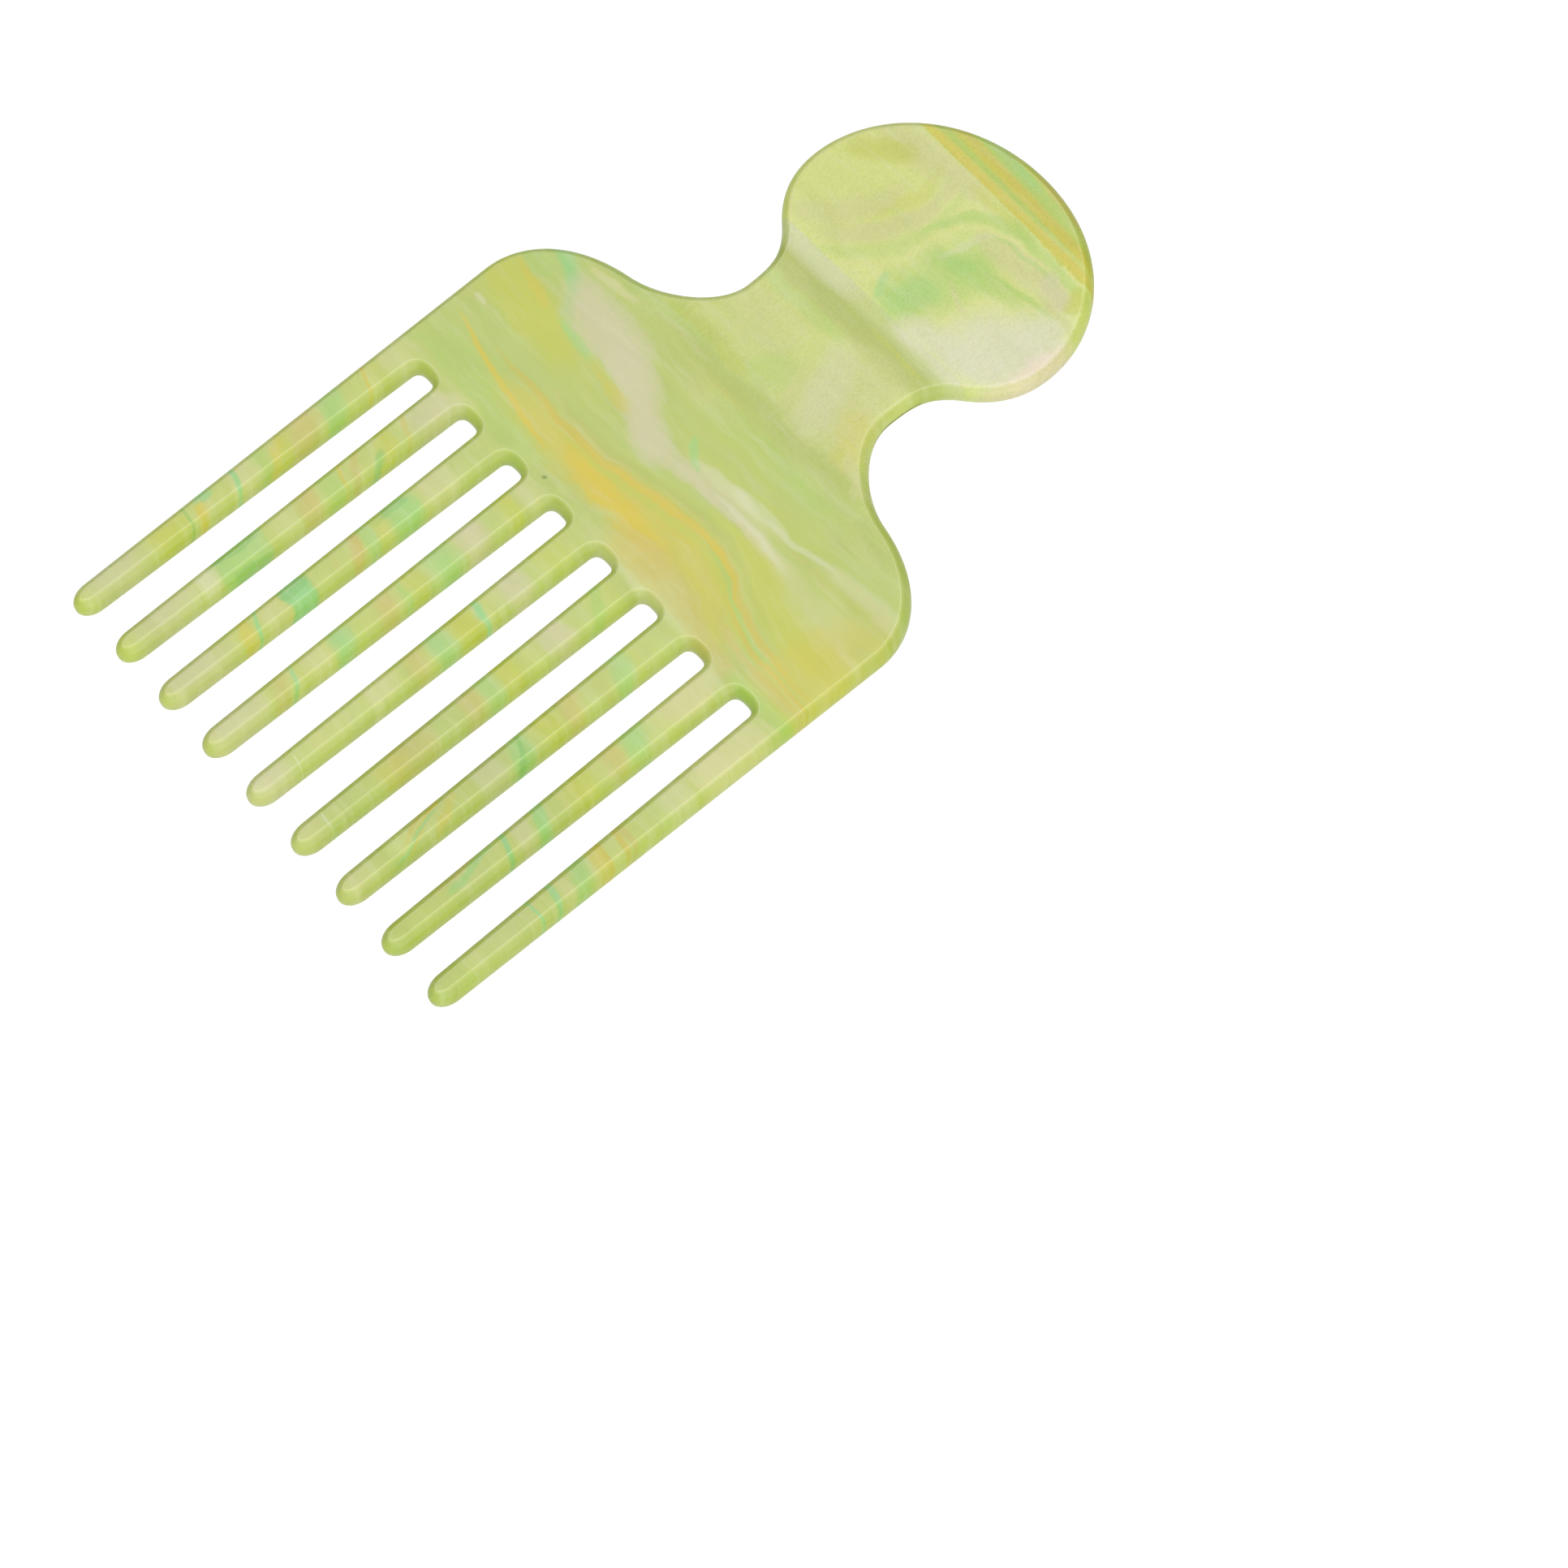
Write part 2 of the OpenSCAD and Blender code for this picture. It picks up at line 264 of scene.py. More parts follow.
SPINE_SWIRLS = (
    Swirl(Tint.LEAF, -30, -9.4, 14, 2.8, turn=-8, strength=0.4),
    Swirl(Tint.LIME, 30, 0.4, 19, 2.6, turn=1, strength=0.9),
    Swirl(Tint.GOLD, 2, -7.2, 28, 3.0, turn=-2, strength=0.6),
    Swirl(Tint.GOLD, 1, -8.9, 14, 1.9, turn=-12, strength=1.0),
    Swirl(Tint.APRICOT, 24, -11.5, 18, 1.6, turn=-1, strength=0.6),
    Swirl(Tint.CREAM, 14, -13.0, 13, 1.2, strength=0.5),
    Swirl(Tint.OLIVE, 5, -1.7, 24, 0.7, strength=0.3),
    Swirl(Tint.AMBER, 8, -3.9, 34, 0.75, strength=0.8),
    Swirl(Tint.GOLD, 6, -4.1, 18, 0.5, strength=0.6),
    Swirl(Tint.LIME, 8, -5.6, 26, 0.6, turn=-1, strength=0.7),
    Swirl(Tint.LEAF, 30, -4.9, 16, 0.4, strength=0.5),
    Swirl(Tint.AMBER, 36, -5.6, 13, 0.4, turn=1, strength=0.7),
    Swirl(Tint.APRICOT, 37, -7.6, 12, 0.6, turn=1, strength=0.6),
    Swirl(Tint.GOLD, -29, -6.2, 13, 0.4, turn=-11, strength=0.8),
    Swirl(Tint.AMBER, -20, -4.0, 12, 0.35, turn=-4, strength=0.5),
    Swirl(Tint.LEAF, 42, -11.6, 7.5, 1.6, strength=0.8),
    Swirl(Tint.GOLD, 43, -2.5, 9, 6, turn=90, strength=0.4),
    Swirl(Tint.MOSS, -10.8, -11.6, 0.45, 0.35, strength=0.8, soft=0.8),
)

LEFT_TOOTH_SWIRLS = (
    Swirl(Tint.SAGE, 0, -45, 80, 31, strength=0.2, soft=0.4),
    Swirl(Tint.CREAM, -43, -15, 4, 2.4, strength=0.6),
    Swirl(Tint.LIME, -42, -19, 4, 1.6, strength=0.3),
    Swirl(Tint.GOLD, -42, -21.2, 4, 0.3, turn=-14, strength=0.6),
    Swirl(Tint.MINT, -42.5, -27.6, 4, 1.7, turn=-22, strength=0.55),
    Swirl(Tint.APRICOT, -42, -33.5, 4, 2.6, turn=-24, strength=0.65),
    Swirl(Tint.LIME, -42, -37.4, 4, 1.4, turn=-20, strength=0.7),
    Swirl(Tint.GOLD, -41.4, -39.2, 3.4, 0.9, turn=-24, strength=0.5),
    Swirl(Tint.LEAF, -42, -41.4, 4, 1.2, turn=-10, strength=0.5),
    Swirl(Tint.CREAM, -42, -44.6, 4, 2.4, strength=0.8),
    Swirl(Tint.AQUA, -42, -45.8, 4, 0.4, turn=-6, strength=0.8),
    Swirl(Tint.AQUA, -44.4, -51, 1.3, 1.5, strength=0.8),
    Swirl(Tint.GOLD, -41, -52.4, 2.8, 0.9, turn=-10, strength=0.7),
    Swirl(Tint.LIME, -42, -57.8, 4, 3, strength=0.85),
    Swirl(Tint.FERN, -42, -54.7, 4, 0.25, turn=-4, strength=0.5),
    Swirl(Tint.ROSE, -42, -68.0, 4, 4.8, strength=0.6),
    Swirl(Tint.ROSE, -31.5, -17, 4, 3.4, strength=0.75),
    Swirl(Tint.AMBER, -31.5, -21.6, 4, 0.35, turn=-16, strength=0.5),
    Swirl(Tint.LIME, -31, -25.4, 4, 1.4, turn=-14, strength=0.9),
    Swirl(Tint.FERN, -29.6, -27.4, 2.4, 0.6, turn=-30, strength=0.6),
    Swirl(Tint.GOLD, -31, -33.6, 4, 0.3, turn=-18, strength=0.7),
    Swirl(Tint.APRICOT, -31.5, -31, 4, 0.7, turn=-30, strength=0.6),
    Swirl(Tint.LEAF, -31.5, -35.5, 4, 2.0, strength=0.6),
    Swirl(Tint.APRICOT, -31.5, -39.8, 4, 1.6, turn=-12, strength=0.7),
    Swirl(Tint.CREAM, -31.5, -44.8, 4, 1.6, strength=0.5),
    Swirl(Tint.MINT, -31.5, -52.6, 4, 4.3, strength=0.55, soft=0.5),
    Swirl(Tint.FERN, -33.2, -52.6, 4.6, 0.9, turn=90, strength=0.5, soft=0.6),
    Swirl(Tint.FERN, -29.2, -51.4, 3.4, 0.7, turn=90, strength=0.45, soft=0.6),
    Swirl(Tint.PEARL, -31.8, -58.8, 3, 1.7, strength=0.6),
    Swirl(Tint.ROSE, -31.5, -66.5, 4, 5.0, strength=0.6),
    Swirl(Tint.CREAM, -21, -23.6, 4, 2.8, strength=0.75),
    Swirl(Tint.MINT, -21, -29.9, 4, 2.3, strength=0.75),
    Swirl(Tint.FERN, -23.0, -31.6, 3.4, 0.8, turn=90, strength=0.45, soft=0.6),
    Swirl(Tint.LIME, -20.4, -34.2, 4, 1.2, turn=-8, strength=0.5),
    Swirl(Tint.MINT, -21, -36.6, 4, 1.2, strength=0.5),
    Swirl(Tint.APRICOT, -21, -39.4, 4, 0.9, turn=-16, strength=0.85),
    Swirl(Tint.AQUA, -21, -49.8, 4, 2.5, strength=0.85, soft=0.5),
    Swirl(Tint.FERN, -23.0, -49.8, 2.6, 0.7, turn=90, strength=0.45, soft=0.6),
    Swirl(Tint.FERN, -18.6, -49.8, 2.6, 0.6, turn=90, strength=0.4, soft=0.6),
    Swirl(Tint.CREAM, -21, -54.6, 4, 1.8, strength=0.7),
    Swirl(Tint.GOLD, -20.5, -60, 4, 1.0, turn=-14, strength=0.55),
    Swirl(Tint.AQUA, -21, -57.9, 4, 0.3, turn=-18, strength=0.8),
    Swirl(Tint.ROSE, -21, -68.5, 4, 5.6, strength=0.7),
    Swirl(Tint.CREAM, -10.5, -15, 4, 1.6, strength=0.6),
    Swirl(Tint.LIME, -10.5, -18.6, 4, 1.3, strength=0.8),
    Swirl(Tint.ROSE, -10.5, -25.5, 4, 2.2, strength=0.85),
    Swirl(Tint.MINT, -10.5, -30.8, 4, 2.4, strength=0.6),
    Swirl(Tint.LIME, -10.5, -36, 4, 1.6, strength=0.6),
    Swirl(Tint.LEAF, -10, -38.8, 4, 0.7, turn=-8, strength=0.6),
    Swirl(Tint.APRICOT, -10.5, -42, 4, 1.2, turn=-8, strength=0.7),
    Swirl(Tint.AQUA, -10.8, -50, 3, 1.6, strength=0.55),
    Swirl(Tint.CREAM, -10.5, -55, 4, 2, strength=0.6),
    Swirl(Tint.APRICOT, -10.2, -61.8, 4, 1.3, turn=-16, strength=0.5),
    Swirl(Tint.AQUA, -10.5, -59.4, 4, 0.3, turn=-18, strength=0.7),
    Swirl(Tint.ROSE, -10.5, -69.8, 4, 5, strength=0.7),
)

RIGHT_TOOTH_SWIRLS = (
    Swirl(Tint.LIME, 0, -19, 4, 2.2, strength=0.5),
    Swirl(Tint.ROSE, 0, -25.8, 4, 2.4, strength=0.85),
    Swirl(Tint.AQUA, 0.4, -32.3, 4, 0.6, turn=-5, strength=0.85),
    Swirl(Tint.LIME, 0, -35.3, 4, 1.8, strength=0.95),
    Swirl(Tint.AQUA, 0, -39.5, 4, 1.7, strength=0.5),
    Swirl(Tint.APRICOT, 0, -44, 4, 1.6, strength=0.5),
    Swirl(Tint.CREAM, -0.5, -50.5, 3.4, 2.6, strength=0.8),
    Swirl(Tint.CREAM, 0, -61, 4, 4.0, strength=0.4),
    Swirl(Tint.ROSE, 0, -71.5, 4, 3.4, strength=0.8),
    Swirl(Tint.PEARL, 0, -66.5, 1.5, 0.12, turn=-8, strength=0.6),
    Swirl(Tint.LEAF, 11, -19.4, 5, 0.9, turn=-34, strength=0.6),
    Swirl(Tint.ROSE, 10.5, -27.6, 4, 2.4, strength=0.8),
    Swirl(Tint.LIME, 10.5, -35.8, 4, 1.8, strength=0.9),
    Swirl(Tint.MINT, 10.5, -39.4, 4, 1.5, strength=0.5),
    Swirl(Tint.APRICOT, 10.5, -43, 4, 1.4, turn=-10, strength=0.6),
    Swirl(Tint.APRICOT, 10.5, -53, 4, 3.4, strength=0.5),
    Swirl(Tint.GOLD, 11.8, -57, 2, 2.6, strength=0.35),
    Swirl(Tint.CREAM, 10.5, -72.5, 4, 2.4, strength=0.7),
    Swirl(Tint.PEARL, 10.2, -69.6, 1.7, 0.12, turn=-6, strength=0.6),
    Swirl(Tint.MINT, 21, -23.5, 4, 1.5, turn=-12, strength=0.55),
    Swirl(Tint.APRICOT, 21, -32.6, 4, 1.8, turn=-16, strength=0.6),
    Swirl(Tint.LIME, 21, -36.9, 4, 1.7, strength=0.95),
    Swirl(Tint.MINT, 21, -42.2, 4, 1.6, turn=-14, strength=0.7),
    Swirl(Tint.FERN, 21.4, -42.6, 4, 0.4, turn=-24, strength=0.6),
    Swirl(Tint.ROSE, 21, -47.2, 4, 2, strength=0.6),
    Swirl(Tint.GOLD, 21, -59.5, 5, 0.5, turn=-55, strength=0.8),
    Swirl(Tint.AMBER, 20.3, -60.6, 5, 0.35, turn=-58, strength=0.7),
    Swirl(Tint.AQUA, 22, -61, 5, 0.3, turn=-62, strength=0.7),
    Swirl(Tint.GOLD, 21.4, -56.2, 4, 0.6, turn=-50, strength=0.5),
    Swirl(Tint.SAGE, 20.4, -64.5, 3, 2.0, strength=0.5),
    Swirl(Tint.CREAM, 21, -72.5, 4, 3.0, strength=0.7),
    Swirl(Tint.CREAM, 31.5, -18.6, 4, 5.4, strength=1.0, soft=0.9),
    Swirl(Tint.MINT, 31.5, -28.4, 4, 1.9, turn=-24, strength=0.6),
    Swirl(Tint.APRICOT, 31.5, -32.6, 4, 1.6, turn=-10, strength=0.55),
    Swirl(Tint.LIME, 31.5, -39.8, 4, 2.6, strength=0.95),
    Swirl(Tint.MINT, 31.5, -46.2, 4, 0.9, turn=-16, strength=0.85),
    Swirl(Tint.ROSE, 31.5, -49.4, 4, 1.2, strength=0.5),
    Swirl(Tint.AQUA, 31.5, -52.4, 4, 0.4, turn=-14, strength=0.85),
    Swirl(Tint.MINT, 31.8, -58.5, 5, 0.6, turn=-72, strength=0.7),
    Swirl(Tint.APRICOT, 30.8, -60, 5, 0.4, turn=-78, strength=0.7),
    Swirl(Tint.LIME, 31.2, -68, 6, 0.5, turn=-84, strength=0.5),
    Swirl(Tint.CREAM, 42.3, -21.2, 5, 6.2, strength=1.0, soft=0.7),
    Swirl(Tint.ROSE, 42, -30.6, 4, 2, strength=0.4),
    Swirl(Tint.AMBER, 42, -40.3, 4, 0.5, turn=-4, strength=0.85),
    Swirl(Tint.APRICOT, 42, -39.2, 4, 0.4, strength=0.6),
    Swirl(Tint.GOLD, 42, -44.5, 4, 1.2, turn=-4, strength=0.65),
    Swirl(Tint.AMBER, 42, -43.4, 4, 0.4, turn=-3, strength=0.7),
    Swirl(Tint.MINT, 42, -48, 4, 1.4, turn=-14, strength=0.6),
    Swirl(Tint.CREAM, 42, -50.8, 4, 0.9, strength=0.6),
    Swirl(Tint.AQUA, 42, -52.7, 4, 0.5, turn=-8, strength=0.75),
    Swirl(Tint.AQUA, 42, -56, 4, 0.3, turn=-3, strength=0.95),
    Swirl(Tint.CREAM, 42, -60.4, 4, 4.4, strength=0.35),
    Swirl(Tint.MOSS, 30, -60, 26, 22, strength=0.14, soft=0.9),
)


@dataclass(frozen=True)
class AcetateFinish:
    """Polished cellulose acetate: how it scatters light and how it shines.

    Attributes:
        streaks: Free streaks, from the lowest to the topmost.
        swirls: Folds of dye, from the lowest to the topmost. A few pearl folds are painted highlights, and
            the pearl on the right of the head is partly a painted reflection.
        roughness: Roughness of the polished faces.
        worn_roughness: Roughness where polishing marks are densest.
        shine: Strength of the reflections under the polished skin.
        coat: Weight of the clear polished skin.
        coat_roughness: Roughness of that skin.
        ior: Index of refraction of acetate.
        scatter: Part of the light that travels under the skin.
        scatter_reach: How far that light travels, in metres.
        scatter_shares: How far red, green and blue travel, as shares of that reach.
        bump_height: Height of the finest unevenness, in metres.
        wave_length: Length of that unevenness.
        wall_shade_limits: How far the surface leans where the painted shade of the walls begins and is
            full.
        arris_highlight_inner: The same for the inner side of the painted highlight line along the arris.
        arris_highlight_outer: The same for its outer side.
        arris_highlight_strength: How fully that painted highlight covers the colour under it.
        depths: Veils that darken the sheet here and there.
        haze: Thin pearly veils.
        grain_size: Size of a speck across and along the comb and through the sheet.
        grain_limits: Noise values at which a speck begins and is full.
        grain_start: Places along the comb between which the speckle sets in.
        grain_strength: Strength of the speckle.
        mark_area: Middle and half length of the area that the polishing marks cover.
        mark_width: Width of a polishing mark.
        mark_strength: How pale the marks are.
        mark_depth: Their depth, as a share of the finest unevenness.
    """

    streaks: tuple[Streak, ...] = STREAKS
    swirls: tuple[Swirl, ...] = (
        WAIST_SWIRLS + HEAD_SWIRLS + CROWN_SWIRLS + SHOULDER_SWIRLS + SPINE_SWIRLS
        + LEFT_TOOTH_SWIRLS + RIGHT_TOOTH_SWIRLS
    )
    roughness: float = 0.34
    worn_roughness: float = 0.5
    shine: float = 0.4
    coat: float = 0.2
    coat_roughness: float = 0.12
    ior: float = 1.48
    scatter: float = 1.0
    scatter_reach: float = 0.0025
    scatter_shares: Triple = (0.9, 1.0, 0.45)
    bump_height: float = 0.00002
    wave_length: float = 3.0
    wall_shade_limits: Point = (0.03, 0.16)
    arris_highlight_inner: Point = (0.012, 0.024)
    arris_highlight_outer: Point = (0.034, 0.052)
    arris_highlight_strength: float = 0.8
    depths: Streak = Streak(Tint.DEPTH, (3, 9, 60), 11, 4, (0.4, 0.7), 0.25)
    haze: Streak = Streak(Tint.PEARL, (5, 17, 40), 12, 1.3, (0.44, 0.74), 0.14)
    grain_size: Triple = (0.16, 0.5, 0.5)
    grain_limits: Point = (0.4, 0.7)
    grain_start: Point = (6.0, 24.0)
    grain_strength: float = 0.6
    mark_area: Point = (27.0, 14.0)
    mark_width: float = 0.12
    mark_strength: float = 0.4
    mark_depth: float = 0.1


class Canvas:
    """A node tree with short typed calls that add and join its nodes."""

    def __init__(self, tree: bpy.types.NodeTree) -> None:
        """Take the tree of a material or of a node group."""
        self.tree = tree

    def add(self, kind: str, **settings: object) -> bpy.types.Node:
        """Add a node and set its plain properties.

        Args:
            kind: Name of the node's type.
            **settings: Properties of the node, by name.

        Returns:
            The new node.
        """
        node = self.tree.nodes.new(kind)
        for name, setting in settings.items():
            setattr(node, name, setting)
        return node

    def feed(self, socket: Socket, source: object) -> None:
        """Join a socket to a source, or set it where the source is a plain value.

        Args:
            socket: Input socket.
            source: Output socket, number, vector or colour.
        """
        if isinstance(source, bpy.types.NodeSocket):
            self.tree.links.new(source, socket)
        else:
            socket.default_value = source

    def math(self, operation: str, a: Value, b: Value = 0.0, c: Value = 0.0) -> Socket:
        """Return the result of one sum on two or three numbers.

        Args:
            operation: Name of the sum.
            a: First number.
            b: Second number.
            c: Third number, for a sum that takes one.

        Returns:
            Output socket of the node.
        """
        node = self.add("ShaderNodeMath", operation=operation)
        for socket, source in zip(node.inputs, (a, b, c)):
            self.feed(socket, source)
        return node.outputs[0]

    def vector(self, operation: str, a: object, b: object) -> Socket:
        """Return the result of one sum on two vectors.

        Args:
            operation: Name of the sum.
            a: First vector.
            b: Second vector.

        Returns:
            Output socket of the node.
        """
        node = self.add("ShaderNodeVectorMath", operation=operation)
        self.feed(node.inputs[0], a)
        self.feed(node.inputs[1], b)
        return node.outputs[0]

    def dot(self, a: object, b: object) -> Socket:
        """Return how far one vector reaches along another."""
        node = self.add("ShaderNodeVectorMath", operation="DOT_PRODUCT")
        self.feed(node.inputs[0], a)
        self.feed(node.inputs[1], b)
        return node.outputs["Value"]

    def split(self, source: Socket) -> tuple[Socket, Socket, Socket]:
        """Return the three parts of a vector."""
        node = self.add("ShaderNodeSeparateXYZ")
        self.feed(node.inputs[0], source)
        return node.outputs[0], node.outputs[1], node.outputs[2]

    def join(self, x: Value, y: Value, z: Value) -> Socket:
        """Return a vector made of three numbers."""
        node = self.add("ShaderNodeCombineXYZ")
        for socket, source in zip(node.inputs, (x, y, z)):
            self.feed(socket, source)
        return node.outputs[0]

    def noise(self, place: Socket, detail: float, rough: float) -> bpy.types.Node:
        """Return a noise node whose lumps are about one unit wide.

        Args:
            place: Place at which the noise is read.
            detail: Number of finer layers.
            rough: Strength of the finer layers.

        Returns:
            The noise node.
        """
        node = self.add("ShaderNodeTexNoise", noise_dimensions="3D")
        self.feed(node.inputs["Vector"], place)
        self.feed(node.inputs["Scale"], 1.0)
        self.feed(node.inputs["Detail"], detail)
        self.feed(node.inputs["Roughness"], rough)
        return node

    def fade(self, source: Socket, low: Value, high: Value, full: Value = 1.0) -> Socket:
        """Return a smooth step from 0 at one limit to its full value at another.

        Args:
            source: Number that is compared with the two limits.
            low: Where the result is 0.
            high: Where the result is full, which may be less than low.
            full: The full value.

        Returns:
            Output socket with the step.
        """
        node = self.add("ShaderNodeMapRange", interpolation_type="SMOOTHSTEP")
        self.feed(node.inputs["Value"], source)
        self.feed(node.inputs["From Min"], low)
        self.feed(node.inputs["From Max"], high)
        self.feed(node.inputs["To Max"], full)
        return node.outputs[0]

    def blend(self, mask: Value, under: object, over: object, mode: str = "MIX") -> Socket:
        """Return one colour laid over another through a mask.

        Args:
            mask: How fully the upper colour covers the lower one.
            under: Lower colour.
            over: Upper colour.
            mode: How the two are mixed.

        Returns:
            Output socket with the colour.
        """
        node = self.add("ShaderNodeMix", data_type="RGBA", blend_type=mode)
        self.feed(node.inputs["Factor"], mask)
        colours = [socket for socket in node.inputs if socket.type == "RGBA"]
        self.feed(colours[0], under)
        self.feed(colours[1], over)
        return next(socket for socket in node.outputs if socket.type == "RGBA")

    def place(self, group: bpy.types.NodeTree, **sources: object) -> Socket:
        """Place a node group and return its output.

        Args:
            group: Node group to place.
            **sources: Source of each input, by the input's name.

        Returns:
            Output socket of the placed group.
        """
        node = self.add("ShaderNodeGroup", node_tree=group)
        for name, source in sources.items():
            self.feed(node.inputs[name], source)
        return node.outputs[0]


Drawing = Callable[[Canvas, dict[str, Socket]], Socket]


def new_group(
    name: str, inputs: dict[str, str], output: tuple[str, str], draw: Drawing
) -> bpy.types.NodeTree:
    """Build a shader node group with named sockets.

    Args:
        name: Name of the group.
        inputs: Type of each input socket, by its name.
        output: Name and type of the output socket.
        draw: Adds the group's nodes and returns the result.

    Returns:
        The node group.
    """
    tree = bpy.data.node_groups.new(name, "ShaderNodeTree")
    for socket, kind in inputs.items():
        tree.interface.new_socket(socket, in_out="INPUT", socket_type=f"NodeSocket{kind}")
    tree.interface.new_socket(output[0], in_out="OUTPUT", socket_type=f"NodeSocket{output[1]}")
    canvas = Canvas(tree)
    entry = canvas.add("NodeGroupInput")
    leave = canvas.add("NodeGroupOutput")
    result = draw(canvas, {socket: entry.outputs[socket] for socket in inputs})
    canvas.feed(leave.inputs[0], result)
    return tree


@dataclass
class Effects:
    """Shader effects of the acetate, each a node group that is built once.

    Attributes:
        fold_length: Length of the large folds that carry the pattern about.
        fold_reach: How far those folds carry it along X, Y and Z.
        cloud_length: Length of the smaller, cloudy folds.
        cloud_reach: How far those carry it.
        strand_length: Length of the fine strands at the edges of a swirl.
        strand_width: Width of those strands.
        strand_reach: How far the strands reach out of a swirl.
        streak_limits: Places between which the fine strands begin, towards the teeth.
        crown_limits: Places between which the straight layers of the crown begin.
        crease_y: Middle of the straight layers at the crease.
        crease_limits: Distances from it between which the folds begin again.
        calm: How much of the folding is left out in straight layers.
        hump_x: Place of the hump in the layers of the spine.
        hump_limits: Distances from there at which the hump ends and is full.
        hump_rise: Height of the hump.
        fall_x: Place from which the layers of the spine fall away to the right.
        fall_slope: How steeply they fall.
        hump_foot: Places between which the hump begins.
        hump_head: Places between which it ends.
        feather_cloud: Size of the clouds that feather the edges of a swirl.
        feather_size: Length and width of the strands that feather them.
        feather_reach: How far those edges are moved.
        sheet: Thickness of the sheet.
        lean: How far the pattern leans along Y for each millimetre of depth.
        mark_length: Length of a polishing mark.
        mark_range: Noise values between which a polishing mark appears.
    """

    fold_length: float = 26.0
    fold_reach: Triple = (4.0, 1.4, 0.0)
    cloud_length: float = 5.5
    cloud_reach: Triple = (1.3, 0.9, 0.0)
    strand_length: float = 25.0
    strand_width: float = 2.2
    strand_reach: float = 0.35
    streak_limits: Point = (24.0, 14.0)
    crown_limits: Point = (66.5, 67.5)
    crease_y: float = 41.0
    crease_limits: Point = (2.0, 6.0)
    calm: float = 0.95
    hump_x: float = 10.0
    hump_limits: Point = (20.0, 4.0)
    hump_rise: float = 2.6
    fall_x: float = 18.0
    fall_slope: float = 0.14
    hump_foot: Point = (-13.0, -8.0)
    hump_head: Point = (1.5, 6.0)
    feather_cloud: float = 2.4
    feather_size: Point = (9.0, 1.2)
    feather_reach: float = 0.6
    sheet: float = 3.75
    lean: float = 0.5
    mark_length: float = 9.0
    mark_range: Point = (0.52, 0.72)
    flow: bpy.types.NodeTree = field(init=False)
    swirl: bpy.types.NodeTree = field(init=False)
    strands: bpy.types.NodeTree = field(init=False)
    marks: bpy.types.NodeTree = field(init=False)
    wall: bpy.types.NodeTree = field(init=False)

    def __post_init__(self) -> None:
        """Build every node group."""
        self.flow = new_group("sheet_flow", {"place": "Vector"}, ("flow", "Vector"), self.draw_flow)
        inputs = {name: "Vector" for name in ("flow", "middle", "along", "across")}
        inputs |= {name: "Float" for name in ("bend", "inner", "outer", "strength")}
        self.swirl = new_group("sheet_swirl", inputs, ("mask", "Float"), self.draw_swirl)
        inputs = {"flow": "Vector", "shift": "Vector", "size": "Vector", "low": "Float", "high": "Float"}
        self.strands = new_group("sheet_strands", inputs, ("mask", "Float"), self.draw_strands)
        inputs = {"place": "Vector", "middle": "Float", "half": "Float", "width": "Float"}
        self.marks = new_group("polishing_marks", inputs, ("mask", "Float"), self.draw_marks)
        inputs = {"normal": "Vector", "low": "Float", "high": "Float"}
        self.wall = new_group("side_wall", inputs, ("mask", "Float"), self.draw_wall)

    def draw_flow(self, canvas: Canvas, source: dict[str, Socket]) -> Socket:
        """Draw the group that carries a place along the folds of the sheet.

        Args:
            canvas: Canvas of the group.
            source: The group's inputs.

        Returns:
            The place at which the pattern is read, in millimetres. Its third part isn't a place:
            it says how far the edge of a swirl is moved, as a share of the swirl's breadth.
        """
        x, y, z = canvas.split(source["place"])
        depth = canvas.math("SUBTRACT", self.sheet, z)
        place = canvas.join(x, canvas.math("ADD", y, canvas.math("MULTIPLY", depth, self.lean)), z)
        moves = [self.draw_move(canvas, place, (self.fold_length,) * 3, self.fold_reach)]
        moves.append(self.draw_move(canvas, place, (self.cloud_length,) * 3, self.cloud_reach))
        strand = (self.strand_length, self.strand_width, self.strand_length)
        streaky = canvas.fade(y, *self.streak_limits)
        moves.append(self.draw_move(canvas, place, strand, (0.0, self.strand_reach, 0.0)))
        move = canvas.vector("ADD", canvas.vector("ADD", moves[0], moves[1]), moves[2])
        crown = canvas.fade(y, *self.crown_limits)
        away = canvas.math("ABSOLUTE", canvas.math("SUBTRACT", y, self.crease_y))
        crease = canvas.math("SUBTRACT", 1.0, canvas.fade(away, *self.crease_limits))
        calm = canvas.math("MULTIPLY", canvas.math("MAXIMUM", crown, crease), self.calm)
        share = canvas.math("SUBTRACT", 1.0, calm)
        shares = canvas.join(share, share, share)
        folded = canvas.vector("ADD", place, canvas.vector("MULTIPLY", move, shares))
        length, width = self.feather_size
        spots = canvas.vector("DIVIDE", folded, (self.feather_cloud,) * 3)
        cloud = canvas.noise(spots, detail=3.0, rough=0.6)
        size = (length, width, length)
        strands = canvas.noise(canvas.vector("DIVIDE", folded, size), detail=1.0, rough=0.5)
        strand = canvas.math("MULTIPLY", canvas.math("SUBTRACT", strands.outputs[0], NOISE_MIDDLE), streaky)
        both = canvas.math("ADD", canvas.math("SUBTRACT", cloud.outputs[0], NOISE_MIDDLE), strand)
        feather = canvas.math("MULTIPLY", both, canvas.math("MULTIPLY", share, self.feather_reach))
        x, y, _ = canvas.split(folded)
        return canvas.join(x, canvas.math("SUBTRACT", y, self.draw_hump(canvas, x, y)), feather)

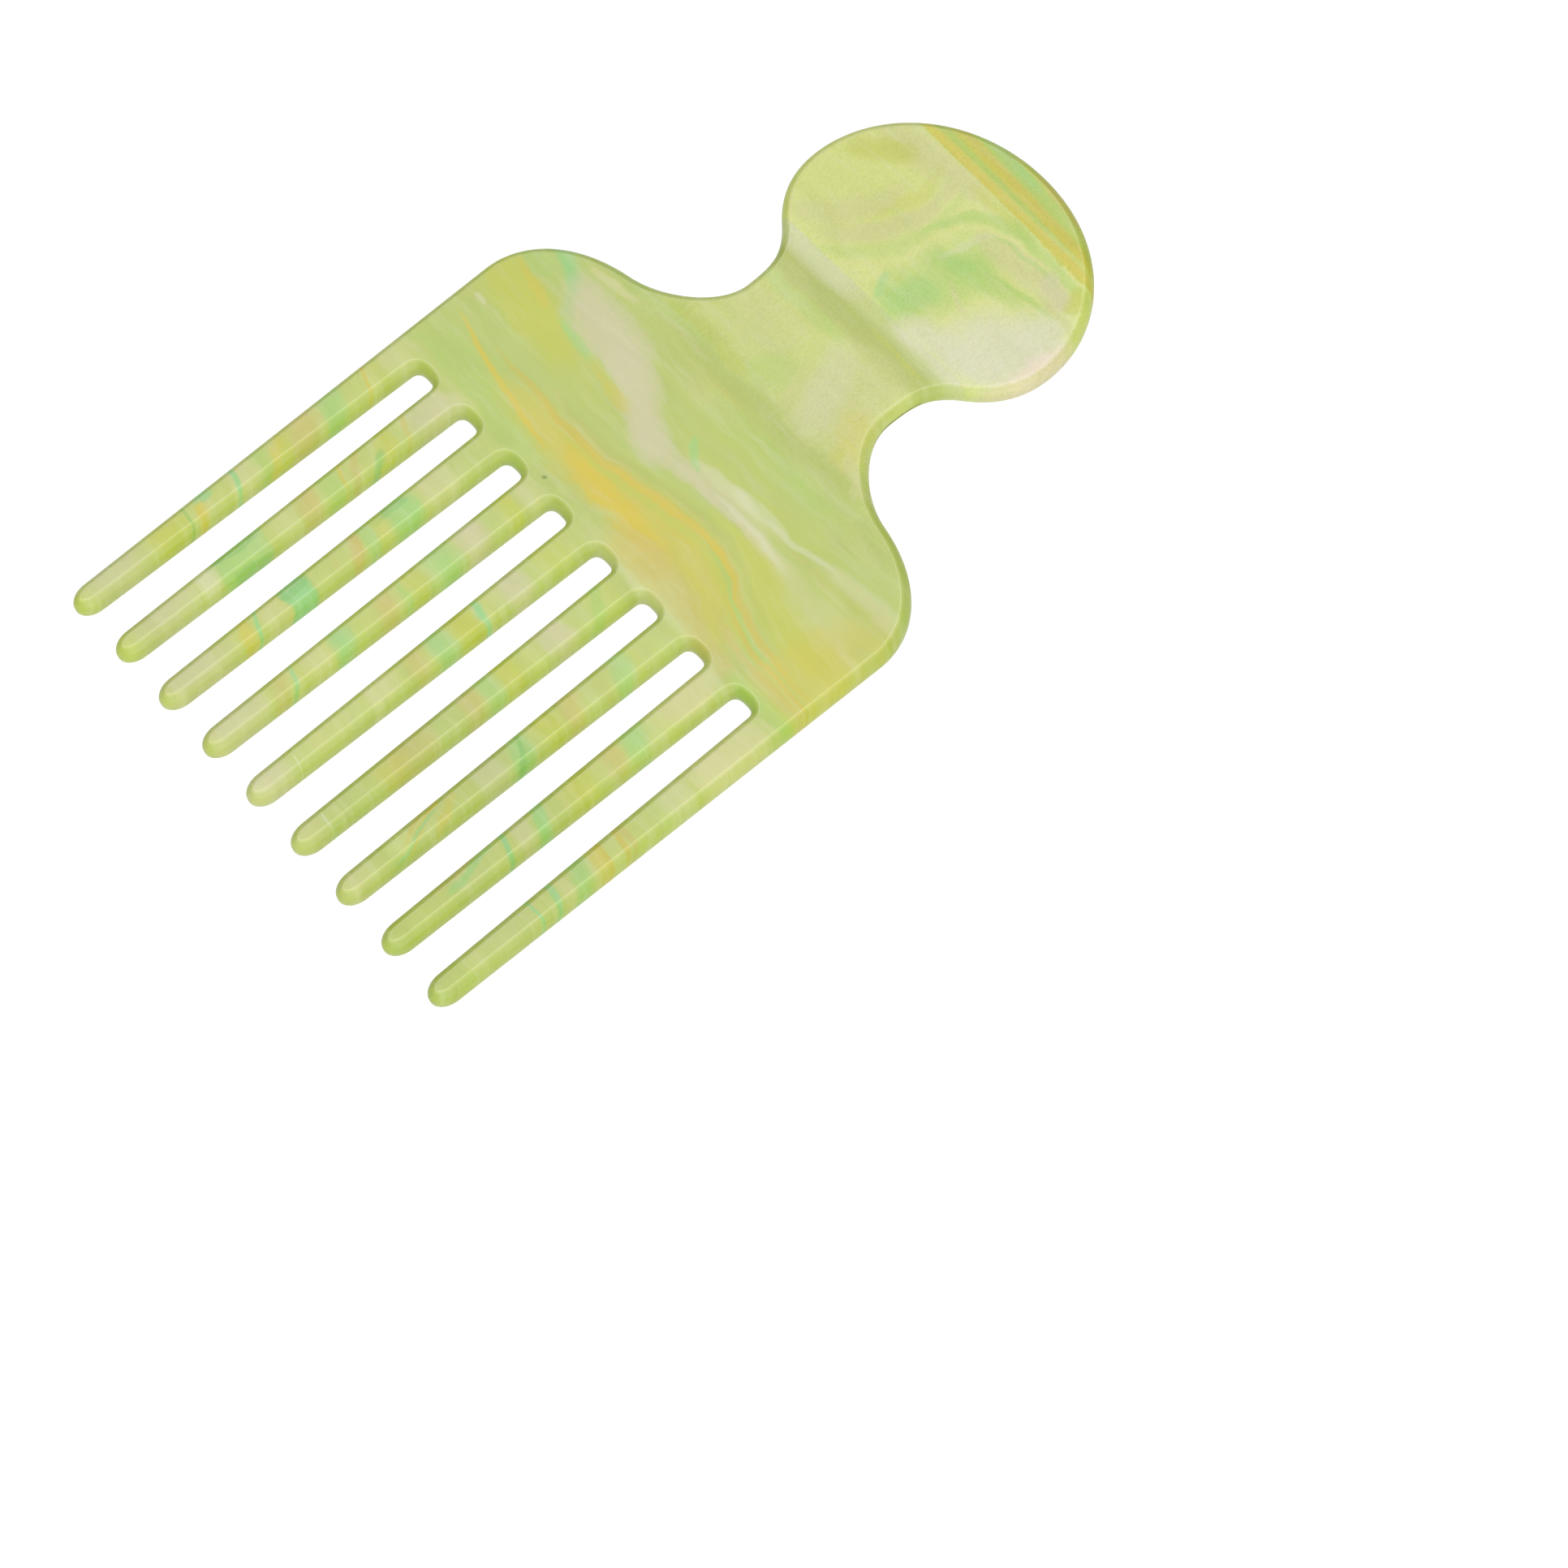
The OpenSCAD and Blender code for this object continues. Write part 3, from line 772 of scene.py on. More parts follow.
    def draw_hump(self, canvas: Canvas, x: Socket, y: Socket) -> Socket:
        """Draw the hump of the layers in the spine and their fall to the right.

        Args:
            canvas: Canvas of the group.
            x: Place across the comb.
            y: Place along the comb.

        Returns:
            How far the layers are raised.
        """
        away = canvas.math("ABSOLUTE", canvas.math("SUBTRACT", x, self.hump_x))
        rise = canvas.fade(away, *self.hump_limits, self.hump_rise)
        beyond = canvas.math("MAXIMUM", canvas.math("SUBTRACT", x, self.fall_x), 0.0)
        raised = canvas.math("MULTIPLY_ADD", beyond, -self.fall_slope, rise)
        above_foot = canvas.fade(y, *self.hump_foot)
        below_head = canvas.fade(y, self.hump_head[1], self.hump_head[0])
        return canvas.math("MULTIPLY", raised, canvas.math("MULTIPLY", above_foot, below_head))

    @staticmethod
    def draw_move(canvas: Canvas, place: Socket, size: Triple, reach: Triple) -> Socket:
        """Draw one set of folds.

        Args:
            canvas: Canvas of the group.
            place: Place on the sheet.
            size: Length of a fold along X, Y and Z.
            reach: How far a fold carries the pattern along X, Y and Z.

        Returns:
            How far the place is carried.
        """
        lumps = canvas.noise(canvas.vector("DIVIDE", place, size), detail=1.0, rough=0.5)
        centred = canvas.vector("SUBTRACT", lumps.outputs["Color"], (NOISE_MIDDLE,) * 3)
        return canvas.vector("MULTIPLY", centred, tuple(2 * part for part in reach))

    def draw_swirl(self, canvas: Canvas, source: dict[str, Socket]) -> Socket:
        """Draw the group that masks one swirl, a turned and bent ellipse that fades out.

        Args:
            canvas: Canvas of the group.
            source: The group's inputs.

        Returns:
            Mask of the swirl.
        """
        offset = canvas.vector("SUBTRACT", source["flow"], source["middle"])
        along = canvas.dot(offset, source["along"])
        across = canvas.dot(offset, source["across"])
        square = canvas.math("MULTIPLY", along, along)
        rise = canvas.math("MULTIPLY_ADD", square, source["bend"], across)
        ring = canvas.math("MULTIPLY_ADD", square, square, canvas.math("MULTIPLY", rise, rise))
        return canvas.fade(ring, source["outer"], source["inner"], source["strength"])

    def draw_strands(self, canvas: Canvas, source: dict[str, Socket]) -> Socket:
        """Draw the group that masks free streaks of a given size.

        Args:
            canvas: Canvas of the group.
            source: The group's inputs.

        Returns:
            Mask of the streaks.
        """
        moved = canvas.vector("ADD", source["flow"], source["shift"])
        lumps = canvas.noise(canvas.vector("DIVIDE", moved, source["size"]), detail=2.0, rough=0.55)
        return canvas.fade(lumps.outputs[0], source["low"], source["high"])

    def draw_marks(self, canvas: Canvas, source: dict[str, Socket]) -> Socket:
        """Draw the group that masks fine polishing marks along Y.

        Args:
            canvas: Canvas of the group.
            source: The group's inputs.

        Returns:
            Mask of the marks, strongest around the given middle.
        """
        size = canvas.join(source["width"], self.mark_length, self.mark_length)
        lines = canvas.noise(canvas.vector("DIVIDE", source["place"], size), detail=3.0, rough=0.7)
        thin = canvas.fade(lines.outputs[0], *self.mark_range)
        _, y, _ = canvas.split(source["place"])
        away = canvas.math("ABSOLUTE", canvas.math("SUBTRACT", y, source["middle"]))
        near = canvas.math("SUBTRACT", 1.0, canvas.fade(away, 0.0, source["half"]))
        return canvas.math("MULTIPLY", thin, near)

    def draw_wall(self, canvas: Canvas, source: dict[str, Socket]) -> Socket:
        """Draw the group that masks the side walls, 0 on a flat face and 1 on an upright wall.

        Args:
            canvas: Canvas of the group.
            source: The group's inputs.

        Returns:
            Mask of the side walls and rounded edges.
        """
        _, _, z = canvas.split(source["normal"])
        upright = canvas.math("SUBTRACT", 1.0, canvas.math("ABSOLUTE", z))
        return canvas.fade(upright, source["low"], source["high"])


@dataclass
class Acetate:
    """Marbled acetate, dyed through, with pearl in its folds and a polished skin.

    Attributes:
        finish: Values of the finish.
        effects: Node groups that it is made of.
    """

    finish: AcetateFinish
    effects: Effects

    def streaks(self, canvas: Canvas, flow: Socket) -> Socket:
        """Return the sheet's ground colour with its free streaks.

        Args:
            canvas: Canvas of the material.
            flow: Place at which the pattern is read.

        Returns:
            Output socket with the colour.
        """
        colour: object = Tint.MEADOW.linear()
        for streak in self.finish.streaks:
            colour = canvas.blend(self.veil(canvas, flow, streak), colour, streak.tint.linear())
        return colour

    def veil(self, canvas: Canvas, flow: Socket, streak: Streak) -> Socket:
        """Return the mask of one kind of streak.

        Args:
            canvas: Canvas of the material.
            flow: Place at which the pattern is read.
            streak: Streaks to mask.

        Returns:
            Output socket with the mask.
        """
        mask = canvas.place(
            self.effects.strands,
            flow=flow,
            shift=streak.shift,
            size=(streak.length, streak.width, streak.length),
            low=streak.limits[0],
            high=streak.limits[1],
        )
        return canvas.math("MULTIPLY", mask, streak.strength)

    def folds(self, canvas: Canvas, flow: Socket, colour: Socket) -> Socket:
        """Lay every swirl over the ground colour.

        Args:
            canvas: Canvas of the material.
            flow: Place at which the pattern is read.
            colour: Ground colour.

        Returns:
            Output socket with the colour.
        """
        for swirl in self.finish.swirls:
            turn = math.radians(swirl.turn)
            mask = canvas.place(
                self.effects.swirl,
                flow=flow,
                middle=(swirl.x, swirl.y, 0.0),
                along=(math.cos(turn) / swirl.reach, math.sin(turn) / swirl.reach, 0.0),
                across=(-math.sin(turn) / swirl.breadth, math.cos(turn) / swirl.breadth, 1.0),
                bend=-swirl.bend * swirl.reach**2 / swirl.breadth,
                inner=1 - swirl.soft,
                outer=1 + swirl.soft,
                strength=swirl.strength,
            )
            colour = canvas.blend(mask, colour, swirl.tint.linear())
        return colour

    def speckle(self, canvas: Canvas, place: Socket) -> Socket:
        """Return the mask of the fine speckle, which is strongest towards the head.

        Args:
            canvas: Canvas of the material.
            place: Place on the comb.

        Returns:
            Output socket with the mask.
        """
        finish = self.finish
        grain = canvas.place(
            self.effects.strands,
            flow=place,
            shift=(0.0, 0.0, 0.0),
            size=finish.grain_size,
            low=finish.grain_limits[0],
            high=finish.grain_limits[1],
        )
        _, y, _ = canvas.split(place)
        return canvas.math("MULTIPLY", grain, canvas.fade(y, *finish.grain_start, finish.grain_strength))

    def wall(self, canvas: Canvas, normal: Socket, limits: Point) -> Socket:
        """Return the mask of all that leans more than the two limits."""
        return canvas.place(self.effects.wall, normal=normal, low=limits[0], high=limits[1])

    def colour(self, canvas: Canvas, place: Socket, normal: Socket, marks: Socket) -> Socket:
        """Draw the colour of the whole comb, with painted shade on its walls and a painted highlight along
        its arris.

        Args:
            canvas: Canvas of the material.
            place: Place on the comb.
            normal: Direction of the surface.
            marks: Mask of the polishing marks.

        Returns:
            Output socket with the colour.
        """
        finish = self.finish
        flow = canvas.place(self.effects.flow, place=place)
        colour = self.folds(canvas, flow, self.streaks(canvas, flow))
        # Painted shade on the side walls and rounded edges, by how far the surface leans.
        wall = self.wall(canvas, normal, finish.wall_shade_limits)
        colour = canvas.blend(wall, colour, Tint.WALL_SHADE.linear(), "MULTIPLY")
        shade = canvas.math("ADD", self.veil(canvas, flow, finish.depths), self.speckle(canvas, place))
        colour = canvas.blend(shade, colour, finish.depths.tint.linear(), "MULTIPLY")
        haze = self.veil(canvas, flow, finish.haze)
        sheen = canvas.math("MULTIPLY_ADD", marks, finish.mark_strength, haze)
        colour = canvas.blend(sheen, colour, finish.haze.tint.linear())
        # Painted highlight: a pale pearl line along the arris, where the surface first starts to lean.
        inner = self.wall(canvas, normal, finish.arris_highlight_inner)
        outer = self.wall(canvas, normal, finish.arris_highlight_outer)
        arris = canvas.math("MULTIPLY", canvas.math("SUBTRACT", inner, outer), finish.arris_highlight_strength)
        return canvas.blend(arris, colour, Tint.PEARL.linear())

    def relief(self, canvas: Canvas, place: Socket, marks: Socket) -> Socket:
        """Draw the finest unevenness of the polished surface.

        Args:
            canvas: Canvas of the material.
            place: Place on the comb.
            marks: Mask of the polishing marks.

        Returns:
            Output socket with the direction of the uneven surface.
        """
        finish = self.finish
        bump = canvas.add("ShaderNodeBump")
        canvas.feed(bump.inputs["Distance"], finish.bump_height)
        spots = canvas.vector("DIVIDE", place, (finish.wave_length,) * 3)
        waves = canvas.noise(spots, detail=3.0, rough=0.5)
        scored = canvas.math("MULTIPLY", marks, finish.mark_depth)
        canvas.feed(bump.inputs["Height"], canvas.math("ADD", waves.outputs[0], scored))
        return bump.outputs["Normal"]

    def material(self) -> bpy.types.Material:
        """Build the material.

        Returns:
            The material.
        """
        material = bpy.data.materials.new("marbled_acetate")
        material.use_nodes = True
        canvas = Canvas(material.node_tree)
        shader = material.node_tree.nodes["Principled BSDF"]
        finish = self.finish
        spot = canvas.add("ShaderNodeTexCoord")
        place = canvas.vector("DIVIDE", spot.outputs["Object"], (MM, MM, MM))
        middle, half = finish.mark_area
        width = finish.mark_width
        marks = canvas.place(self.effects.marks, place=place, middle=middle, half=half, width=width)
        worn = canvas.math("MULTIPLY", marks, finish.worn_roughness - finish.roughness)
        sources = {
            "Base Color": self.colour(canvas, place, spot.outputs["Normal"], marks),
            "Roughness": canvas.math("ADD", worn, finish.roughness),
            "Normal": self.relief(canvas, place, marks),
            "IOR": finish.ior,
            "Specular IOR Level": finish.shine,
            "Coat Weight": finish.coat,
            "Coat Roughness": finish.coat_roughness,
            "Subsurface Weight": finish.scatter,
            "Subsurface Scale": finish.scatter_reach,
            "Subsurface Radius": finish.scatter_shares,
        }
        for name, source in sources.items():
            canvas.feed(shader.inputs[name], source)
        return material


@dataclass
class EdgeProfile:
    """Rounded edge of the sheet, part of an ellipse from the upright wall to an arris on the face.

    Attributes:
        width: Half the width of the ellipse.
        height: Half its height, through the sheet.
        arris_turn: Where the ellipse ends at the arris, in degrees from its top.
        arris_width: Width of the narrow fillet that softens the arris.
        steps: Steps in the rounding.
    """

    width: float = 2.05
    height: float = 1.75
    arris_turn: float = 20.0
    arris_width: float = 0.18
    steps: int = 10

    def levels(self) -> list[Triple]:
        """Return the edge as levels, from the wall to the flat face.

        Returns:
            For each level its distance inside the outline, its depth under the flat face and
            the tilt of its surface, in radians.
        """
        arris = math.radians(self.arris_turn)
        levels = []
        for step in range(self.steps + 1):
            turn = UPRIGHT + (arris - UPRIGHT) * step / self.steps
            depth = self.height * (math.cos(arris) - math.cos(turn))
            tilt = math.atan2(self.height * math.sin(turn), self.width * math.cos(turn))
            levels.append((self.width * (1 - math.sin(turn)), depth, tilt))
        levels.append((levels[-1][0] + self.arris_width, 0.0, 0.0))
        return levels


@dataclass
class CombOutline:
    """Outline of the comb, with its places along the comb read from the frame.

    Attributes:
        sheet: Thickness of the sheet.
        tip_y: Place of the tips of the teeth.
        root_y: Place where the rounded ends of the gaps begin.
        foot_y: Place of the feet of the shoulders.
        crease_y: Place of the crease under the head.
        crown_y: Place of the top of the head.
        teeth_x: Middle of each tooth.
        root_half: Half the width of a tooth at its root.
        foot_half: Half the width between the feet of the shoulders.
        head_half: Half the width of the head.
        tip_half: Half the width of a tooth at its tip.
        tip_round: Length of the rounded tip of a tooth.
        gap_end: Depth of the rounded end of a gap.
        gap_power: Squareness of that end, where 2 is an ellipse.
        shoulder_drop: Height of the shoulders, from the end of the straight side to the foot.
        foot_rise: Angle at which the outline still rises at the foot, in degrees.
        waist_half: Half the width of the waist.
        waist_rise: Height of the waist above the foot.
        scoop: Depth of the thumb scoop.
        crease_round: How far the crease is rounded off.
        neck_half: Half the width of the neck, beside the crease.
        neck_drop: Distance of the neck below the crease.
        neck_flare: Angle between the outline and the middle line at the neck, in degrees.
        bulge_rise: Height of the widest place of the head above the crease.
    """

    sheet: float
    tip_y: float
    root_y: float
    foot_y: float
    crease_y: float
    crown_y: float
    teeth_x: list[float]
    root_half: float
    foot_half: float
    head_half: float
    tip_half: float = 2.25
    tip_round: float = 3.3
    gap_end: float = 1.6
    gap_power: float = 2.8
    shoulder_drop: float = 15.0
    foot_rise: float = 10.0
    waist_half: float = 16.2
    waist_rise: float = 12.0
    scoop: float = 0.6
    crease_round: float = 0.07
    neck_half: float = 19.4
    neck_drop: float = 1.08
    neck_flare: float = 46.0
    bulge_rise: float = 11.5

    @classmethod
    def from_frame(cls) -> CombOutline:
        """Read the comb's main sizes from the boxes of its portions.

        Returns:
            The outline, with every other size at its default.
        """
        boxes = [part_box(f"tooth_{number}") for number in range(1, TEETH + 1)]
        low, high = boxes[0]
        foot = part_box("shoulders")[1]
        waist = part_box("waist")[1]
        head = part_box("head")[1]
        return cls(
            sheet=high.z / MM,
            tip_y=low.y / MM,
            root_y=high.y / MM,
            foot_y=foot.y / MM,
            crease_y=waist.y / MM,
            crown_y=head.y / MM,
            teeth_x=[(box[0].x + box[1].x) / 2 / MM for box in boxes],
            root_half=(high.x - low.x) / 2 / MM,
            foot_half=waist.x / MM,
            head_half=head.x / MM,
        )

    @property
    def waist_y(self) -> float:
        """Return the place of the narrowest part of the waist."""
        return self.foot_y + self.waist_rise

    def tooth_half(self, y: float) -> float:
        """Return half the width of a tooth at the height y."""
        share = (y - self.tip_y) / (self.root_y - self.tip_y)
        return self.tip_half + (self.root_half - self.tip_half) * share

    def tooth_line(self, x: float, steps: int = 36, tip_steps: int = 28) -> list[Point]:
        """Return the outline of one tooth, from its root on the left to its root on the right.

        Args:
            x: Middle of the tooth.
            steps: Steps along each side.
            tip_steps: Steps around the tip.

        Returns:
            Points of the outline.
        """
        round_y = self.tip_y + self.tip_round
        half = self.tooth_half(round_y)
        side = [self.root_y + (round_y - self.root_y) * step / steps for step in range(steps)]
        left = [(x - self.tooth_half(y), y) for y in side]
        angles = [math.pi * (1 + step / tip_steps) for step in range(tip_steps + 1)]
        tip = [(x + half * math.cos(a), round_y + self.tip_round * math.sin(a)) for a in angles]
        right = [(x + self.tooth_half(y), y) for y in reversed(side)]
        return left + tip + right

    def gap_line(self, x: float, half: float, steps: int = 16) -> list[Point]:
        """Return the rounded end of one gap, from left to right, without its two ends.

        Args:
            x: Middle of the gap.
            half: Half the width of the gap.
            steps: Steps around the end.

        Returns:
            Points of the outline.
        """
        points = []
        for step in range(1, steps):
            angle = math.pi * (1 - step / steps)
            out = abs(math.cos(angle)) ** (2 / self.gap_power)
            rise = math.sin(angle) ** (2 / self.gap_power)
            across = math.copysign(out, math.cos(angle))
            points.append((x + half * across, self.root_y + self.gap_end * rise))
        return points

    def back_line(self) -> list[Point]:
        """Return the right half of the back, from the root of the last tooth to the crown.

        Returns:
            Points of the outline.
        """
        side_y = self.foot_y - self.shoulder_drop
        taper = math.atan((self.root_half - self.tip_half) / (self.root_y - self.tip_y))
        neck_y = self.crease_y - self.neck_drop
        knots = [
            ((self.teeth_x[-1] + self.tooth_half(side_y), side_y), UPRIGHT - taper),
            ((self.foot_half, self.foot_y), math.pi - math.radians(self.foot_rise)),
            ((self.waist_half, self.waist_y), UPRIGHT),
            ((self.neck_half, neck_y), UPRIGHT - math.radians(self.neck_flare)),
            ((self.head_half, self.crease_y + self.bulge_rise), UPRIGHT),
            ((0.0, self.crown_y), math.pi),
        ]
        handle_shares = [(0.29, 0.52), (0.34, 0.32), (0.50, 0.38), (0.14, 0.55), (0.34, 0.45)]
        counts = [36, 30, 30, 30, 48]
        straight = 12
        line = []
        for step in range(1, straight):
            y = self.root_y + (side_y - self.root_y) * step / straight
            line.append((self.teeth_x[-1] + self.tooth_half(y), y))
        for start, end, shares, count in zip(knots, knots[1:], handle_shares, counts):
            line += self.curve(start, end, shares, count)
        line.append(knots[-1][0])
        return line

    @staticmethod
    def curve(
        start: tuple[Point, float], end: tuple[Point, float], shares: Point, count: int
    ) -> list[Point]:
        """Return one cubic curve of the outline, without its last point.

        Args:
            start: First point and the heading there.
            end: Last point and the heading there.
            shares: Lengths of the two handles, as shares of the chord.
            count: Steps along the curve.

        Returns:
            Points of the curve.
        """
        first, last = Vector(start[0]), Vector(end[0])
        chord = (last - first).length
        leave = first + chord * shares[0] * Vector((math.cos(start[1]), math.sin(start[1])))
        reach = last - chord * shares[1] * Vector((math.cos(end[1]), math.sin(end[1])))
        points = []
        for step in range(count):
            s = step / count
            point = (1 - s) ** 3 * first + 3 * s * (1 - s) ** 2 * leave
            point += 3 * s * s * (1 - s) * reach + s**3 * last
            points.append((point.x, point.y))
        return points

    def trace(self) -> tuple[np.ndarray, np.ndarray]:
        """Trace the whole outline anticlockwise.

        Returns:
            Points of the outline and the outward direction at each.
        """
        line = self.tooth_line(self.teeth_x[0])
        for x, next_x in zip(self.teeth_x, self.teeth_x[1:]):
            line += self.gap_line((x + next_x) / 2, (next_x - x) / 2 - self.root_half)
            line += self.tooth_line(next_x)
        back = self.back_line()
        line += back
        line += [(-x, y) for x, y in reversed(back[:-1])]
        points = np.array(line)
        ahead = np.roll(points, -1, axis=0) - points
        ahead /= np.linalg.norm(ahead, axis=1)[:, None]
        heading = ahead + np.roll(ahead, 1, axis=0)
        heading /= np.linalg.norm(heading, axis=1)[:, None]
        return points, np.column_stack([heading[:, 1], -heading[:, 0]])

    def top(self, y: np.ndarray) -> np.ndarray:
        """Return the height of the upper face at y, with the scoop and its rounded crease.

        Args:
            y: Places along the comb.

        Returns:
            Height at each place.
        """
        rising = np.clip((self.waist_y - y) / self.waist_rise, 0.0, 1.0)
        falling = np.clip((y - self.waist_y) / (self.crease_y - self.waist_y), 0.0, 2.0)
        raw = self.scoop * (np.cos(rising * UPRIGHT) ** 2 - falling**3)
        blur = self.crease_round * np.minimum(falling, 1.0)
        return self.sheet - (raw + np.sqrt(raw * raw + blur * blur)) / 2

    def face(self, y: np.ndarray, upper: bool) -> tuple[np.ndarray, np.ndarray]:
        """Return the height of a flat face and how steeply it rises along Y.

        Args:
            y: Places along the comb.
            upper: Whether the upper face is meant.

        Returns:
            Height and slope at each place.
        """
        if not upper:
            return np.zeros(len(y)), np.zeros(len(y))
        step = 0.01
        return self.top(y), (self.top(y + step) - self.top(y - step)) / (2 * step)


@dataclass
class CombBody:
    """The whole comb as one closed mesh with rounded edges.

    Attributes:
        outline: Outline of the comb.
        edge: Profile of its edges.
        grid: Spacing of the points inside the flat faces.
        scoop_grid: Spacing of the rows of points along the scoop.
        scoop_margin: How far those rows run on above the crease.
        clearance: Least distance of such a point from the rounded edge.
        points: Points of the mesh.
        leans: Direction of the surface at each point.
        faces: Faces of the mesh.
    """

    outline: CombOutline
    edge: EdgeProfile = field(default_factory=EdgeProfile)
    grid: float = 2.6
    scoop_grid: float = 0.4
    scoop_margin: float = 1.5
    clearance: float = 0.35
    points: list[Triple] = field(default_factory=list)
    leans: list[Triple] = field(default_factory=list)
    faces: list[tuple[int, ...]] = field(default_factory=list)

    def add_points(self, line: np.ndarray, outward: np.ndarray, level: Triple, upper: bool) -> int:
        """Add points on one level of the edge or on a flat face.

        Args:
            line: Places of the points across and along the comb.
            outward: Outward direction of the outline beside each point.
            level: Inset, depth and tilt of the level.
            upper: Whether they belong to the upper half of the sheet.

        Returns:
            Index of the first point that was added.
        """
        inset, depth, tilt = level
        side = 1 if upper else -1
        places = line - outward * inset
        height, slope = self.outline.face(places[:, 1], upper)
        lean = np.column_stack([outward * math.sin(tilt), np.full(len(line), side * math.cos(tilt))])
        lean[:, 1] -= side * slope * math.cos(tilt)
        lean /= np.linalg.norm(lean, axis=1)[:, None]
        first = len(self.points)
        self.points += [tuple(place) for place in np.column_stack([places, height - side * depth])]
        self.leans += [tuple(direction) for direction in lean]
        return first

    def inner_places(self, loop: np.ndarray, upper: bool) -> np.ndarray:
        """Return places well inside a closed loop for the points of a flat face.

        Args:
            loop: Points of the loop.
            upper: Whether the face has the scoop, with its closer rows.

        Returns:
            The places.
        """
        outline = self.outline
        rows = list(np.arange(outline.root_y, outline.crown_y, self.grid))
        if upper:
            end = outline.crease_y + self.scoop_margin
            rows = [y for y in rows if not outline.foot_y < y < end]
            rows += list(np.arange(outline.foot_y, end, self.scoop_grid))
        columns = np.arange(-outline.foot_half * 2, outline.foot_half * 2, self.grid)
        places = np.array([(x, y) for y in rows for x in columns])
        inside = np.zeros(len(places), dtype=bool)
        near = np.full(len(places), np.inf)
        for start, end in zip(loop, np.roll(loop, -1, axis=0)):
            side = end - start
            if side[1] != 0:
                crosses = (start[1] > places[:, 1]) != (end[1] > places[:, 1])
                crossing = start[0] + (places[:, 1] - start[1]) * side[0] / side[1]
                inside ^= crosses & (places[:, 0] < crossing)
            share = np.clip((places - start) @ side / (side @ side), 0.0, 1.0)
            away = places - start - share[:, None] * side
            near = np.minimum(near, np.hypot(away[:, 0], away[:, 1]))
        return places[inside & (near > self.clearance)]

    def add_cap(self, first: int, count: int, upper: bool) -> None:
        """Fill the loop of a flat face with triangles.

        Args:
            first: Index of the loop's first point.
            count: Number of points in the loop.
            upper: Whether this is the upper face.
        """
        loop = np.array(self.points[first:first + count])[:, :2]
        added = self.inner_places(loop, upper)
        start = self.add_points(added, np.zeros((len(added), 2)), (0.0, 0.0, 0.0), upper)
        places = [Vector(place) for place in np.vstack([loop, added])]
        inside_only, closeness = 1, 1e-7
        filled = delaunay_2d_cdt(places, [], [list(range(count))], inside_only, closeness)
        if len(filled[0]) != len(places):
            raise ValueError("the flat face needs points that its loop doesn't have")
        spots = [first + i if i < count else start + i - count for i in range(len(places))]
        for face in filled[2]:
            corners = [spots[filled[3][corner][0]] for corner in face]
            self.faces.append(tuple(corners if upper else reversed(corners)))

    def build(self, material: bpy.types.Material) -> bpy.types.Object:
        """Build the comb's mesh and dress it.

        Args:
            material: Material of the whole comb.

        Returns:
            The comb.
        """
        points, outward = self.outline.trace()
        count = len(points)
        levels = self.edge.levels()
        sides = [(level, False) for level in reversed(levels)] + [(level, True) for level in levels]
        firsts = [self.add_points(points, outward, level, upper) for level, upper in sides]
        for low, high in zip(firsts, firsts[1:]):
            for i in range(count):
                j = (i + 1) % count
                self.faces.append((low + i, low + j, high + j, high + i))
        self.add_cap(firsts[0], count, upper=False)
        self.add_cap(firsts[-1], count, upper=True)

        mesh = bpy.data.meshes.new("comb")
        mesh.from_pydata([[part * MM for part in point] for point in self.points], [], self.faces)
        mesh.shade_smooth()
        mesh.normals_split_custom_set_from_vertices(self.leans)
        mesh.materials.append(material)
        comb = bpy.data.objects.new("comb", mesh)
        bpy.context.scene.collection.objects.link(comb)
        return comb


@dataclass(frozen=True)
class Softbox:
    """One soft lamp of the studio.

    Attributes:
        name: Name of the lamp.
        place: Where it hangs, in metres.
        aim: What it points at, in metres.
        size: Width and height, in metres.
        power: Power in watts.
    """

    name: str
    place: Triple
    aim: Triple
    size: Point
    power: float


